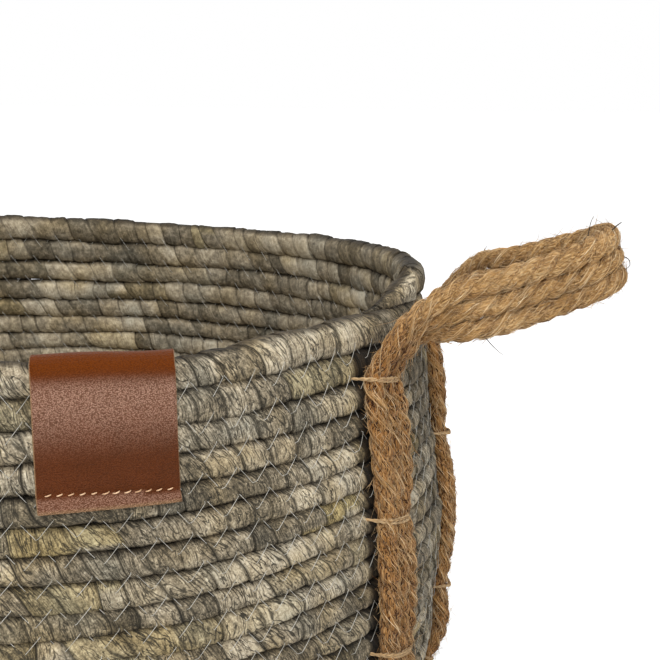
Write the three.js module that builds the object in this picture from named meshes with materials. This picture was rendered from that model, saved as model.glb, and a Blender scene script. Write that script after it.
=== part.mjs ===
// Round basket coiled from one rope, with two rope handles lashed to its wall and a leather label
// folded over its rim. Millimetres, +Z up. The basket stands on Z = 0 with its axis on Z, and the
// middles of the handles are on +X and -X.
import * as THREE from 'three';

// The coil's rope, wound from the rim down the wall and in over the base
const coilPitch = 10;
const coilGap = 0.5;
const coilSides = 6;
const coilSteps = 20;
const rimRadius = 170;
const wallDepth = 155;
const bellyDepth = 121;
const bellyBulge = 8.5;
const cornerRadius = 35;
const eyeRadius = 7;
const ropeEndAngle = THREE.MathUtils.degToRad(4);
const taperTurn = 0.1;
const taperTip = 0.45;

// What keeps two pieces apart where they touch
const touch = 0.35;

// The handles' ropes
const ropeRadius = 4;
const ropeSides = 8;
const ropeCount = 3;
const handleSpread = THREE.MathUtils.degToRad(30.5);
const hingeDepth = 11;
const hingeStandoff = 4;
const hingeGap = 0.8;
const loopUp = THREE.MathUtils.degToRad(60);
const ropeBedding = 0.7;
const stretchSteps = 15;
const stretchEndLean = THREE.MathUtils.degToRad(38);
const loopReach = 79;
const loopRise = 29.5;
const loopEndHalf = 18;
const loopSteps = 26;
const loopTwistShare = 0.3;

// The lashings that bind the handles' ropes to the wall
const lashingRadius = 1.4;
const lashingSides = 6;
const lashingSteps = 10;
const lashingCount = 4;
const firstLashingDepth = 27;
const lowerLashingDepth = 135;
const backLashingDepths = [27, 72, 142];
const lashingOverhang = 7;

// The label and its thread
const labelAngle = THREE.MathUtils.degToRad(-53.9);
const labelWidth = 48;
const labelDrop = 43;
const labelThickness = 1.4;
const labelSteps = 6;
const threadRadius = 0.45;
const threadInset = 5;
const threadMargin = 2;
const stitchCount = 12;
const stitchLift = 0.5;

// Sizes that follow
const coilSize = (coilPitch - coilGap) / 2;
const coilFlat = coilSize * Math.cos(Math.PI / coilSides);
const facetShrink = Math.cos(Math.PI / coilSteps);
const facetGrow = 2 / (1 + facetShrink);
const ropeSpacing = 2 * ropeRadius + touch;
const baseHeight = coilFlat;
const wallSlope = depth => 2 * bellyBulge * (bellyDepth - depth) / bellyDepth ** 2;
const wallRadius = depth => rimRadius + bellyBulge * (1 - ((bellyDepth - depth) / bellyDepth) ** 2);
const cornerLean = Math.atan(-wallSlope(wallDepth));
const cornerX = wallRadius(wallDepth) - cornerRadius * Math.cos(cornerLean);
const cornerZ = baseHeight + cornerRadius;
const footHeight = cornerZ - cornerRadius * Math.sin(cornerLean);
const rimHeight = footHeight + wallDepth;

const leafRope = new THREE.MeshStandardMaterial({ color: 0x8a8674, roughness: 0.85, metalness: 0 });
const juteRope = new THREE.MeshStandardMaterial({ color: 0xa9835a, roughness: 0.95, metalness: 0 });
const juteYarn = new THREE.MeshStandardMaterial({ color: 0xc3a070, roughness: 0.95, metalness: 0 });
const leather = new THREE.MeshStandardMaterial({ color: 0x7a3d24, roughness: 0.5, metalness: 0 });
const cotton = new THREE.MeshStandardMaterial({ color: 0xd9c3a0, roughness: 0.9, metalness: 0 });

// Faces that close a ring of points: a fan, where the ring bulges outwards all round
const fan = sides => Array.from({ length: sides - 2 }, (_, k) => [0, k + 1, k + 2]);

// A closed solid over rings of points: each ring joins the next, and endFaces close both ends.
function solidFromRings(rings, endFaces = fan(rings[0].length)) {
  const sides = rings[0].length;
  const points = rings.flat();
  const last = (rings.length - 1) * sides;
  const faces = [];
  for (let i = 0; i + 1 < rings.length; i++) {
    for (let k = 0; k < sides; k++) {
      const a = i * sides + k;
      const b = i * sides + (k + 1) % sides;
      faces.push([a, b, b + sides], [a, b + sides, a + sides]);
    }
  }
  for (const [a, b, c] of endFaces) faces.push([a, c, b], [last + a, last + b, last + c]);
  const volume = faces.reduce((sum, [a, b, c]) =>
    sum + points[a].dot(new THREE.Vector3().crossVectors(points[b], points[c])), 0);
  if (volume < 0) faces.forEach(face => face.reverse());
  const geometry = new THREE.BufferGeometry().setFromPoints(points);
  geometry.setIndex(faces.flat());
  geometry.computeVertexNormals();
  return geometry;
}

function namedMesh(name, geometry, material) {
  const mesh = new THREE.Mesh(geometry, material);
  mesh.name = name;
  return mesh;
}

const cylindrical = (radius, angle, height) =>
  new THREE.Vector3(radius * Math.cos(angle), radius * Math.sin(angle), height);

// The section of wall, corner and base that the coil's rope follows, from the rim to the middle
function coilProfile() {
  const path = new THREE.Path();
  path.moveTo(rimRadius, rimHeight);
  const controlX = rimRadius + wallSlope(0) * wallDepth / 2;
  path.quadraticCurveTo(controlX, rimHeight - wallDepth / 2, wallRadius(wallDepth), footHeight);
  path.absarc(cornerX, cornerZ, cornerRadius, -cornerLean, -Math.PI / 2, true);
  path.lineTo(eyeRadius, baseHeight);
  return path;
}

const profile = coilProfile();
const profileLength = profile.getLength();
const wallLength = profile.getCurveLengths()[0];
const cornerEnd = profile.getCurveLengths().at(-2);

// Centre, direction and outward side of the coil at a length along its section
function profileFrame(length) {
  const share = THREE.MathUtils.clamp(length / profileLength, 0, 1);
  const centre = profile.getPoint(share);
  const along = profile.getTangent(share);
  return { centre, along, outward: new THREE.Vector2(-along.y, along.x) };
}

// One six-sided section of the coil's rope, which thins towards its end on the rim and lies flat
// where the basket stands on it
function coilRing(length) {
  const { centre, along, outward } = profileFrame(length);
  const turns = length / coilPitch;
  const angle = ropeEndAngle + 2 * Math.PI * turns;
  const size = coilSize * THREE.MathUtils.lerp(taperTip, 1, Math.min(turns / taperTurn, 1));
  const ring = [];
  for (let k = 0; k < coilSides; k++) {
    const around = 2 * Math.PI * k / coilSides;
    const down = coilSize - size + size * Math.cos(around);
    const out = size * Math.sin(around);
    const radius = centre.x * facetGrow + along.x * down + outward.x * out;
    ring.push(cylindrical(radius, angle, Math.max(0, centre.y + along.y * down + outward.y * out)));
  }
  return ring;
}

function coilRings(start, end) {
  const step = coilPitch / coilSteps;
  const lengths = [start];
  for (let i = Math.floor(start / step) + 1; i * step < end - step / 4; i++) lengths.push(i * step);
  lengths.push(end);
  return lengths.map(coilRing);
}

// Least distance between a turn and the next, over corners and middles of the sections' edges
function leastGap(rings) {
  const samples = rings.map(ring => ring.flatMap((point, k) =>
    [point, point.clone().lerp(ring[(k + 1) % coilSides], 0.5)]));
  let least = Infinity;
  for (let i = 0; i + coilSteps < samples.length; i++) {
    for (const a of samples[i]) {
      for (const b of samples[i + coilSteps]) least = Math.min(least, a.distanceTo(b));
    }
  }
  return least;
}

function addCoil(group) {
  const split = Math.round(cornerEnd / coilPitch * coilSteps) * coilPitch / coilSteps;
  const splitShift = touch / (2 * Math.PI * cornerX) * coilPitch;
  const wallRings = coilRings(0, split - splitShift);
  const baseRings = coilRings(split, profileLength);
  group.add(namedMesh('wall_coil', solidFromRings(wallRings), leafRope));
  group.add(namedMesh('base_coil', solidFromRings(baseRings), leafRope));
  console.log(`least gap between turns of the wall: ${leastGap(wallRings).toFixed(2)} mm`);
  console.log(`least gap between turns of the base: ${leastGap(baseRings).toFixed(2)} mm`);
  console.log(`turns: ${(profileLength / coilPitch).toFixed(1)}`);
}

// Length along the section at a height below the rim's centre line
const lengthAtDepth = depth => wallLength * depth / wallDepth;

// Radius of the wall's outer face at the corners of its faceted turns
function wallFace(length) {
  const { centre, outward } = profileFrame(length);
  return centre.x * facetGrow + outward.x * coilFlat;
}

// How far a faceted ring lies inside its corners at an angle
function facetShare(angle) {
  const step = 2 * Math.PI / coilSteps;
  const fromCorner = THREE.MathUtils.euclideanModulo(angle - ropeEndAngle, step);
  return facetShrink / Math.cos(fromCorner - step / 2);
}

// A point at a distance off the wall's outer face
function offWall(length, angle, distance) {
  const { centre, outward } = profileFrame(length);
  const face = wallFace(length) * facetShare(angle);
  const height = centre.y + outward.y * coilFlat;
  return cylindrical(face + outward.x * distance, angle, height + outward.y * distance);
}

// A tube along a curve, with rounded ends where asked
function tube(curve, radius, sides, steps, roundEnds) {
  const frames = curve.computeFrenetFrames(steps, false);
  const ring = (centre, i, size) => Array.from({ length: sides }, (_, k) => {
    const around = 2 * Math.PI * k / sides;
    return centre.clone()
      .addScaledVector(frames.normals[i], size * Math.cos(around))
      .addScaledVector(frames.binormals[i], size * Math.sin(around));
  });
  const cap = (i, sign) => [75, 40].map(degrees => {
    const angle = THREE.MathUtils.degToRad(degrees);
    const centre = curve.getPointAt(i / steps)
      .addScaledVector(frames.tangents[i], sign * radius * Math.sin(angle));
    return ring(centre, i, radius * Math.cos(angle));
  });
  const rings = [];
  for (let i = 0; i <= steps; i++) rings.push(ring(curve.getPointAt(i / steps), i, radius));
  if (!roundEnds) return solidFromRings(rings);
  return solidFromRings([...cap(0, -1), ...rings, ...cap(steps, 1).reverse()]);
}

// Angles and heights of the handles on the wall
const ropeAngle = ropeSpacing / rimRadius;
const bandHalf = (ropeCount - 1) / 2;
const ropeOffsets = Array.from({ length: ropeCount }, (_, i) => i - bandHalf);
const ropeOff = ropeBedding + ropeRadius;
const hingeHeight = rimHeight - hingeDepth;
const hingeLength = lengthAtDepth(hingeDepth);
const stretchEndLength = wallLength + cornerRadius * (stretchEndLean - cornerLean);
const hingeRadius = wallFace(hingeLength) + ropeOff + hingeStandoff;
const hingeX = hingeRadius * Math.cos(handleSpread / 2);
const hingeY = hingeRadius * Math.sin(handleSpread / 2);

// How far down the wall from the hinge line a stretch ends, so that the loop's end turns clear of it
function endDrop(offset) {
  const apart = Math.sqrt((2 * ropeRadius + hingeGap) ** 2 - hingeStandoff ** 2);
  const turned = Math.abs(offset) * ropeSpacing * Math.sin(handleSpread / 2) * Math.sin(loopUp);
  const raised = profileFrame(hingeLength).outward.y * (coilFlat + ropeOff);
  return apart + turned + raised;
}

// One rope down the wall, from just under the loop's end to the bottom corner
function stretchCurve(handleAngle, side, offset) {
  const angle = handleAngle + side * (handleSpread / 2 + offset * ropeAngle);
  const start = lengthAtDepth(hingeDepth + endDrop(offset));
  const points = Array.from({ length: stretchSteps + 1 }, (_, i) =>
    offWall(THREE.MathUtils.lerp(start, stretchEndLength, i / stretchSteps), angle, ropeOff));
  return new THREE.CatmullRomCurve3(points);
}

// Middle line of the loop's band in the handle's own frame, from one hinge end to the other
function loopMiddle() {
  const half = [
    [0, hingeY, 0],
    [0.11, hingeY - 0.6, 0.07],
    [0.22, hingeY - 4.5, 0.25],
    [0.49, hingeY - 15.5, 0.49],
    [0.75, loopEndHalf + 6.5, 0.71],
    [0.9, loopEndHalf, 0.86],
    [0.975, loopEndHalf - 8, 0.965],
  ];
  const place = ([reach, y, rise], side) =>
    new THREE.Vector3(hingeX + reach * loopReach, side * y, hingeHeight + rise * loopRise);
  return new THREE.CatmullRomCurve3([
    ...half.map(point => place(point, -1)),
    place([1, 0, 1], 1),
    ...half.reverse().map(point => place(point, 1)),
  ]);
}

// The band turns from lying on the wall to standing on edge: its outer rope becomes the top one.
function loopCurve(offset) {
  const middle = loopMiddle();
  const count = 28;
  const points = Array.from({ length: count + 1 }, (_, i) => {
    const u = i / count;
    const side = u < 0.5 ? -1 : 1;
    const twist = Math.PI / 2 * THREE.MathUtils.smoothstep(Math.min(u, 1 - u), 0, loopTwistShare);
    const tangent = middle.getTangentAt(u);
    const level = new THREE.Vector3(-tangent.y, tangent.x, 0);
    const up = new THREE.Vector3().crossVectors(tangent, level).normalize();
    const across = up.multiplyScalar(Math.sin(twist));
    across.y += side * Math.cos(twist);
    across.addScaledVector(tangent, -across.dot(tangent)).normalize();
    return middle.getPointAt(u).addScaledVector(across, offset * ropeSpacing);
  });
  return new THREE.CatmullRomCurve3(points);
}

const lastLashingLength = stretchEndLength - 3 * lashingRadius;

// One lashing over the band, with its ends against the wall on either side
function lashingCurve(length, angle) {
  const perMm = 1 / wallFace(length);
  const edge = bandHalf * ropeSpacing * 1.03;
  const over = ropeOff + ropeRadius + touch + lashingRadius;
  const beside = edge + ropeRadius + touch + lashingRadius;
  const half = [
    [edge + ropeRadius + lashingOverhang, touch + lashingRadius],
    [beside + 1.2, ropeOff * 0.9],
    [beside - 1, over - 1.6],
    [edge, over + 0.3],
  ];
  const place = ([across, off], side) => offWall(length, angle + side * across * perMm, off);
  return new THREE.CatmullRomCurve3([
    ...half.map(point => place(point, -1)),
    offWall(length, angle, over + 0.5),
    ...half.reverse().map(point => place(point, 1)),
  ]);
}

function addHandle(group, name, handleAngle) {
  const loop = new THREE.Group();
  loop.rotation.z = handleAngle;
  ropeOffsets.forEach((offset, i) => {
    const shape = tube(loopCurve(offset), ropeRadius, ropeSides, loopSteps, true);
    loop.add(namedMesh(`${name}_loop_rope_${i + 1}`, shape, juteRope));
  });
  group.add(loop);
  for (const [place, y] of [['front', -1], ['back', 1]]) {
    const side = y * Math.cos(handleAngle);
    ropeOffsets.forEach((offset, i) => {
      const curve = stretchCurve(handleAngle, side, offset);
      const shape = tube(curve, ropeRadius, ropeSides, stretchSteps, true);
      group.add(namedMesh(`${name}_${place}_rope_${i + 1}`, shape, juteRope));
    });
    for (let i = 0; i < lashingCount; i++) {
      const even = THREE.MathUtils.lerp(firstLashingDepth, lowerLashingDepth, i / (lashingCount - 2));
      const depth = place === 'front' ? even : backLashingDepths[i];
      const length = i < lashingCount - 1 ? lengthAtDepth(depth) : lastLashingLength;
      const curve = lashingCurve(length, handleAngle + side * handleSpread / 2);
      const shape = tube(curve, lashingRadius, lashingSides, lashingSteps, false);
      group.add(namedMesh(`${name}_${place}_lashing_${i + 1}`, shape, juteYarn));
    }
  }
}

// Height of the coil's centre line at the rim, which falls by one pitch in a turn
function rimTopLength(angle) {
  const turn = THREE.MathUtils.euclideanModulo(angle - ropeEndAngle, 2 * Math.PI);
  return coilPitch * turn / (2 * Math.PI);
}

// The label's section at an angle: down the outside, over the rim and down the inside
function labelSection(off) {
  const start = rimTopLength(labelAngle - labelWidth / 2 / rimRadius);
  const outer = [];
  const inner = [];
  for (const share of [1, 0.75, 0.5, 0.25, 0]) {
    const { centre } = profileFrame(start + share * labelDrop);
    const corner = centre.x * facetGrow;
    outer.push(new THREE.Vector2(corner + coilFlat + touch + off, centre.y));
    inner.unshift(new THREE.Vector2((corner - coilFlat) * facetShrink - touch - off, centre.y));
  }
  const left = inner[0];
  const right = outer.at(-1);
  const middle = (left.x + right.x) / 2;
  const shoulder = right.y + coilSize / 2;
  const height = coilSize / 2 + 2 * touch + off;
  const arch = [0, 45, 90, 135, 180].map(degrees => {
    const angle = THREE.MathUtils.degToRad(degrees);
    return new THREE.Vector2(middle + (right.x - middle) * Math.cos(angle),
      shoulder + height * Math.sin(angle));
  });
  return [...outer, ...arch, ...inner];
}

function labelGeometry() {
  const section = [...labelSection(labelThickness), ...labelSection(0).reverse()];
  const half = labelWidth / 2 / (rimRadius + coilFlat);
  const rings = [];
  for (let i = 0; i <= labelSteps; i++) {
    const angle = labelAngle + THREE.MathUtils.lerp(half, -half, i / labelSteps);
    rings.push(section.map(point => cylindrical(point.x, angle, point.y)));
  }
  return solidFromRings(rings, THREE.ShapeUtils.triangulateShape(section, []));
}

// The thread rises over each stitch and comes down to the leather between two
function labelThreadGeometry() {
  const section = labelSection(labelThickness);
  const edge = section[0];
  const next = section[1];
  const share = threadInset / edge.distanceTo(next);
  const line = edge.clone().lerp(next, share);
  const half = (labelWidth / 2 - threadMargin) / (rimRadius + coilFlat);
  const points = [];
  const count = stitchCount * 2;
  for (let i = 0; i <= count; i++) {
    const angle = labelAngle + THREE.MathUtils.lerp(-half, half, i / count);
    const lift = touch + threadRadius + (i % 2 ? stitchLift : 0);
    points.push(cylindrical(line.x + lift, angle, line.y));
  }
  const curve = new THREE.CatmullRomCurve3(points);
  return tube(curve, threadRadius, 5, count * 2, false);
}

const basket = new THREE.Group();
addCoil(basket);
addHandle(basket, 'right', 0);
addHandle(basket, 'left', Math.PI);
basket.add(namedMesh('label', labelGeometry(), leather));
basket.add(namedMesh('label_thread', labelThreadGeometry(), cotton));

export default basket;
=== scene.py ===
"""Round basket coiled from one leaf-wrapped rope, with jute rope handles and a leather label.

The shapes are worked out in millimetres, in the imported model's own frame, and turned to
metres when a mesh is made. The basket stands on Z = 0 with its axis on Z, and its handles are
on +X and -X.
"""
import logging
import math
from dataclasses import dataclass, field
from enum import Enum
from typing import ClassVar

import bpy
import numpy as np
from mathutils import Matrix, Vector


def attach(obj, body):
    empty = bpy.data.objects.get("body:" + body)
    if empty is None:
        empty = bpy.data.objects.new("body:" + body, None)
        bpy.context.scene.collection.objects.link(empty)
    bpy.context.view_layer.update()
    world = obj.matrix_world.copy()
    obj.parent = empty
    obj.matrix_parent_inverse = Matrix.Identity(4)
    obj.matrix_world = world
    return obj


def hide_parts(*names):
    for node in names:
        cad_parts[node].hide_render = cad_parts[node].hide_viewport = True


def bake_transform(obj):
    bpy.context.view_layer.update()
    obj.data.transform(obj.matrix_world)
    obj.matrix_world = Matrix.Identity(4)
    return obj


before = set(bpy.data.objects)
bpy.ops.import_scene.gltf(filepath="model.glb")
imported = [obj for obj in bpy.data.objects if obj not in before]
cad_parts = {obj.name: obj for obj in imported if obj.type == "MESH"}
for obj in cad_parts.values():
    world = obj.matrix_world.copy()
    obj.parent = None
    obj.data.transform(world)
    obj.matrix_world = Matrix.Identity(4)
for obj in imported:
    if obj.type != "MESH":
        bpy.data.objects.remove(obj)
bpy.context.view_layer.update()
Tree, Node, Socket = bpy.types.NodeTree, bpy.types.Node, bpy.types.NodeSocket
Material = bpy.types.Material
LOG = logging.getLogger("basket")
MM = 0.001
FULL_TURN = 2 * math.pi


# Small helpers


def linear(code: str) -> tuple[float, float, float, float]:
    """Turn an sRGB hex colour into Blender's linear colour.

    Args:
        code: six hex digits, with or without a leading #.

    Returns:
        Red, green and blue in linear light, and an alpha of 1.
    """
    digits = code.lstrip("#")
    parts = [int(digits[i : i + 2], 16) / 255 for i in (0, 2, 4)]
    red, green, blue = (
        c / 12.92 if c <= 0.04045 else ((c + 0.055) / 1.055) ** 2.4 for c in parts
    )
    return red, green, blue, 1.0


def add_node(
    tree: Tree, kind: str, settings: dict | None = None, links: dict | None = None
) -> Node:
    """Add one node to a material or world.

    Args:
        tree: the node tree that gets the node.
        kind: Blender's name for the node's type, after its ShaderNode.
        settings: values by property name, or by input name or index.
        links: the output socket that feeds an input, by the input's name or index.

    Returns:
        The new node.
    """
    node = tree.nodes.new(f"ShaderNode{kind}")
    for key, value in (settings or {}).items():
        if isinstance(key, str) and hasattr(node, key) and key not in node.inputs:
            setattr(node, key, value)
        else:
            node.inputs[key].default_value = value
    for key, socket in (links or {}).items():
        tree.links.new(socket, node.inputs[key])
    return node


def set_ramp(node: Node, stops: tuple[tuple[float, str], ...]) -> None:
    """Give a colour ramp its stops, as places from 0 to 1 and hex colours.

    Args:
        node: the colour ramp.
        stops: each stop's place, from 0 to 1, and its hex colour.
    """
    elements = node.color_ramp.elements
    while len(elements) < len(stops):
        elements.new(0.5)
    for element, (place, code) in zip(elements, stops):
        element.position = place
        element.color = linear(code)


def make_piece(
    name: str,
    points: np.ndarray,
    faces: list,
    material: Material,
    values: dict[str, np.ndarray] | None = None,
) -> bpy.types.Object:
    """Make a smooth mesh object.

    Args:
        name: the object's name.
        points: its vertices in millimetres, one a row.
        faces: vertex numbers of each face.
        material: the finish of all its faces.
        values: numbers kept on the vertices, by attribute name, for the finish to read.

    Returns:
        The new object, linked to the scene.
    """
    mesh = bpy.data.meshes.new(name)
    mesh.from_pydata((np.asarray(points) * MM).tolist(), [], faces)
    for key, numbers in (values or {}).items():
        attribute = mesh.attributes.new(key, "FLOAT", "POINT")
        attribute.data.foreach_set("value", np.asarray(numbers, np.float32))
    mesh.polygons.foreach_set("use_smooth", [True] * len(mesh.polygons))
    mesh.materials.append(material)
    mesh.update()
    piece = bpy.data.objects.new(name, mesh)
    bpy.context.scene.collection.objects.link(piece)
    return piece


def unit(vectors: np.ndarray) -> np.ndarray:
    """Scale each vector in the last axis to a length of 1."""
    return vectors / np.maximum(np.linalg.norm(vectors, axis=-1, keepdims=True), 1e-12)


def smooth_step(x: np.ndarray) -> np.ndarray:
    """Ease from 0 to 1 as x goes from 0 to 1."""
    x = np.clip(x, 0, 1)
    return x * x * (3 - 2 * x)


def walk_along(line: np.ndarray) -> np.ndarray:
    """How far along a line each of its points lies."""
    return np.concatenate([[0], np.cumsum(np.linalg.norm(np.diff(line, axis=0), axis=1))])


def through(points: np.ndarray, spacing: float) -> tuple[np.ndarray, np.ndarray]:
    """Run a smooth curve through points and walk along it at an even spacing.

    Args:
        points: the points, one a row; extra columns are carried along smoothly too.
        spacing: millimetres between two samples, by the first three columns.

    Returns:
        The samples, and each one's distance from the start.
    """
    padded = np.vstack([2 * points[0] - points[1], points, 2 * points[-1] - points[-2]])
    fine = []
    steps = np.linspace(0, 1, 24, endpoint=False)[:, None]
    for a, b, c, d in zip(padded, padded[1:], padded[2:], padded[3:]):
        chords = [np.linalg.norm(q[:3] - p[:3]) for p, q in ((a, b), (b, c), (c, d))]
        knots = np.cumsum([0, *(max(chord, 1e-6) ** 0.5 for chord in chords)])
        t = knots[1] + steps * (knots[2] - knots[1])
        mix = lambda p, q, low, high: p + (q - p) * (t - knots[low]) / (knots[high] - knots[low])
        ab, bc, cd = mix(a, b, 0, 1), mix(b, c, 1, 2), mix(c, d, 2, 3)
        fine.append(mix(mix(ab, bc, 0, 2), mix(bc, cd, 1, 3), 1, 2))
    line = np.vstack([*fine, points[-1:]])
    walked = walk_along(line[:, :3])
    count = max(int(round(walked[-1] / spacing)), 2)
    distance = np.linspace(0, walked[-1], count + 1)
    samples = np.stack([np.interp(distance, walked, column) for column in line.T], axis=1)
    return samples, distance


def carried_frames(line: np.ndarray) -> tuple[np.ndarray, np.ndarray, np.ndarray]:
    """Directions along and across a line that turn as little as they can.

    Args:
        line: the line's points, one a row.

    Returns:
        Unit vectors along the line, and two across it, at each point.
    """
    tangent = unit(np.gradient(line, axis=0))
    normal = np.empty_like(tangent)
    upright = abs(tangent[0][2]) >= 0.9
    guess = np.array([1.0, 0.0, 0.0] if upright else [0.0, 0.0, 1.0])
    for i, along in enumerate(tangent):
        guess = guess - along * (guess @ along)
        guess /= np.linalg.norm(guess)
        normal[i] = guess
    return tangent, normal, np.cross(tangent, normal)


def tube_mesh(
    line: np.ndarray, radius: np.ndarray, sides: int, first: int = 0
) -> tuple[np.ndarray, list]:
    """A closed tube along a line.

    Args:
        line: the line's points, one a row.
        radius: the tube's radius at each point, or one for each point and side.
        sides: the number of points in each ring.
        first: the number of the first vertex.

    Returns:
        The vertices and the faces.
    """
    _, normal, binormal = carried_frames(line)
    around = (np.arange(sides) * FULL_TURN / sides)[:, None]
    radius = np.broadcast_to(np.asarray(radius, float).reshape(len(line), -1), (len(line), sides))
    ring = normal[:, None] * np.cos(around) + binormal[:, None] * np.sin(around)
    points = (line[:, None] + ring * radius[..., None]).reshape(-1, 3)
    return points, ring_faces(len(line), sides, first)


def ring_faces(rings: int, sides: int, first: int = 0) -> list:
    """Faces of a closed tube whose rings of vertices follow each other.

    Args:
        rings: the number of rings.
        sides: the number of vertices in each.
        first: the number of the first vertex.

    Returns:
        The faces, with one more at either end.
    """
    low = first + np.arange(rings - 1)[:, None] * sides + np.arange(sides)
    high = first + np.arange(rings - 1)[:, None] * sides + (np.arange(sides) + 1) % sides
    quads = np.stack([low, high, high + sides, low + sides], axis=-1).reshape(-1, 4)
    last = first + (rings - 1) * sides
    ends = [list(range(first + sides - 1, first - 1, -1)), list(range(last, last + sides))]
    return quads.tolist() + ends


@dataclass
class Bundle:
    """Many small meshes, gathered to make one piece."""

    parts: list[np.ndarray] = field(default_factory=list)
    faces: list[list[int]] = field(default_factory=list)
    count: int = 0

    def add(self, points: np.ndarray, faces: list) -> None:
        """Take in a mesh whose faces are numbered from count on.

        Args:
            points: its vertices, one a row.
            faces: its faces, numbered from count on.
        """
        self.parts.append(points)
        self.faces += faces
        self.count += len(points)

    def add_tube(self, line: np.ndarray, radius: np.ndarray, sides: int) -> None:
        """Take in a closed tube along a line."""
        self.add(*tube_mesh(line, radius, sides, self.count))

    def points(self) -> np.ndarray:
        """All the vertices, one a row."""
        return np.vstack(self.parts)


# Finishes


@dataclass(frozen=True)
class Finish:
    """A surface of the basket, made into one material.

    The relief is how deep its grain goes, in millimetres, and reads names the numbers kept on
    the mesh's vertices that its pattern follows.
    """

    name: str
    roughness: float
    specular: float = 0.5
    sheen: float = 0.0
    relief: float = 0.0
    bump_strength: float = 0.9
    reads: ClassVar[tuple[str, ...]] = ()

    def material(self) -> Material:
        """Make the material.

        Returns:
            A new node material with this finish's colour and relief.
        """
        made = bpy.data.materials.new(self.name)
        made.use_nodes = True
        tree = made.node_tree
        tree.nodes.clear()
        kept = {
            name: add_node(tree, "Attribute", {"attribute_name": name}).outputs["Fac"]
            for name in self.reads
        }
        colour, height = self.dress(tree, kept)
        sockets = {"Base Color": colour}
        if height is not None:
            depth = {"Strength": self.bump_strength, "Distance": self.relief * MM}
            sockets["Normal"] = add_node(tree, "Bump", depth, {"Height": height}).outputs["Normal"]
        even = {
            "Roughness": self.roughness,
            "Specular IOR Level": self.specular,
            "Sheen Weight": self.sheen,
        }
        shader = add_node(tree, "BsdfPrincipled", even, sockets)
        add_node(tree, "OutputMaterial", links={"Surface": shader.outputs["BSDF"]})
        return made

    def dress(self, tree: Tree, kept: dict[str, Socket]) -> tuple[Socket, Socket | None]:
        """Draw this finish's pattern.

        Args:
            tree: the material's node tree.
            kept: sockets of the vertices' numbers, by their names in reads.

        Returns:
            Sockets of the colour and of the height of the grain, or None for a plain surface.
        """
        raise NotImplementedError


def grain(
    tree: Tree, place: Socket, scale: tuple[float, float, float], detail: float
) -> Socket:
    """Noise drawn out along fibres.

    Args:
        tree: the material's node tree.
        place: where a point is across, along and through the fibres.
        scale: specks in one unit of each.
        detail: how many finer layers the noise has.

    Returns:
        A socket with values about 0.5.
    """
    scaled = add_node(tree, "VectorMath", {"operation": "MULTIPLY", 1: scale}, {0: place})
    texture = {"Scale": 1.0, "Detail": detail, "Roughness": 0.62}
    return add_node(tree, "TexNoise", texture, {"Vector": scaled.outputs["Vector"]}).outputs["Fac"]


def hairlines(tree: Tree, source: Socket, width: float) -> Socket:
    """Thin wandering lines where a noise passes its middle value.

    Args:
        tree: the material's node tree.
        source: the noise.
        width: how far from the middle value a line still shows.

    Returns:
        A socket that is 1 on a line and 0 away from it.
    """
    away = add_node(tree, "Math", {"operation": "SUBTRACT", 1: 0.5}, {0: source}).outputs[0]
    size = add_node(tree, "Math", {"operation": "ABSOLUTE"}, {0: away}).outputs[0]
    edges = {"From Min": width * 0.45, "From Max": width, "To Min": 1.0, "To Max": 0.0}
    return add_node(tree, "MapRange", edges, {"Value": size}).outputs["Result"]


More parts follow.
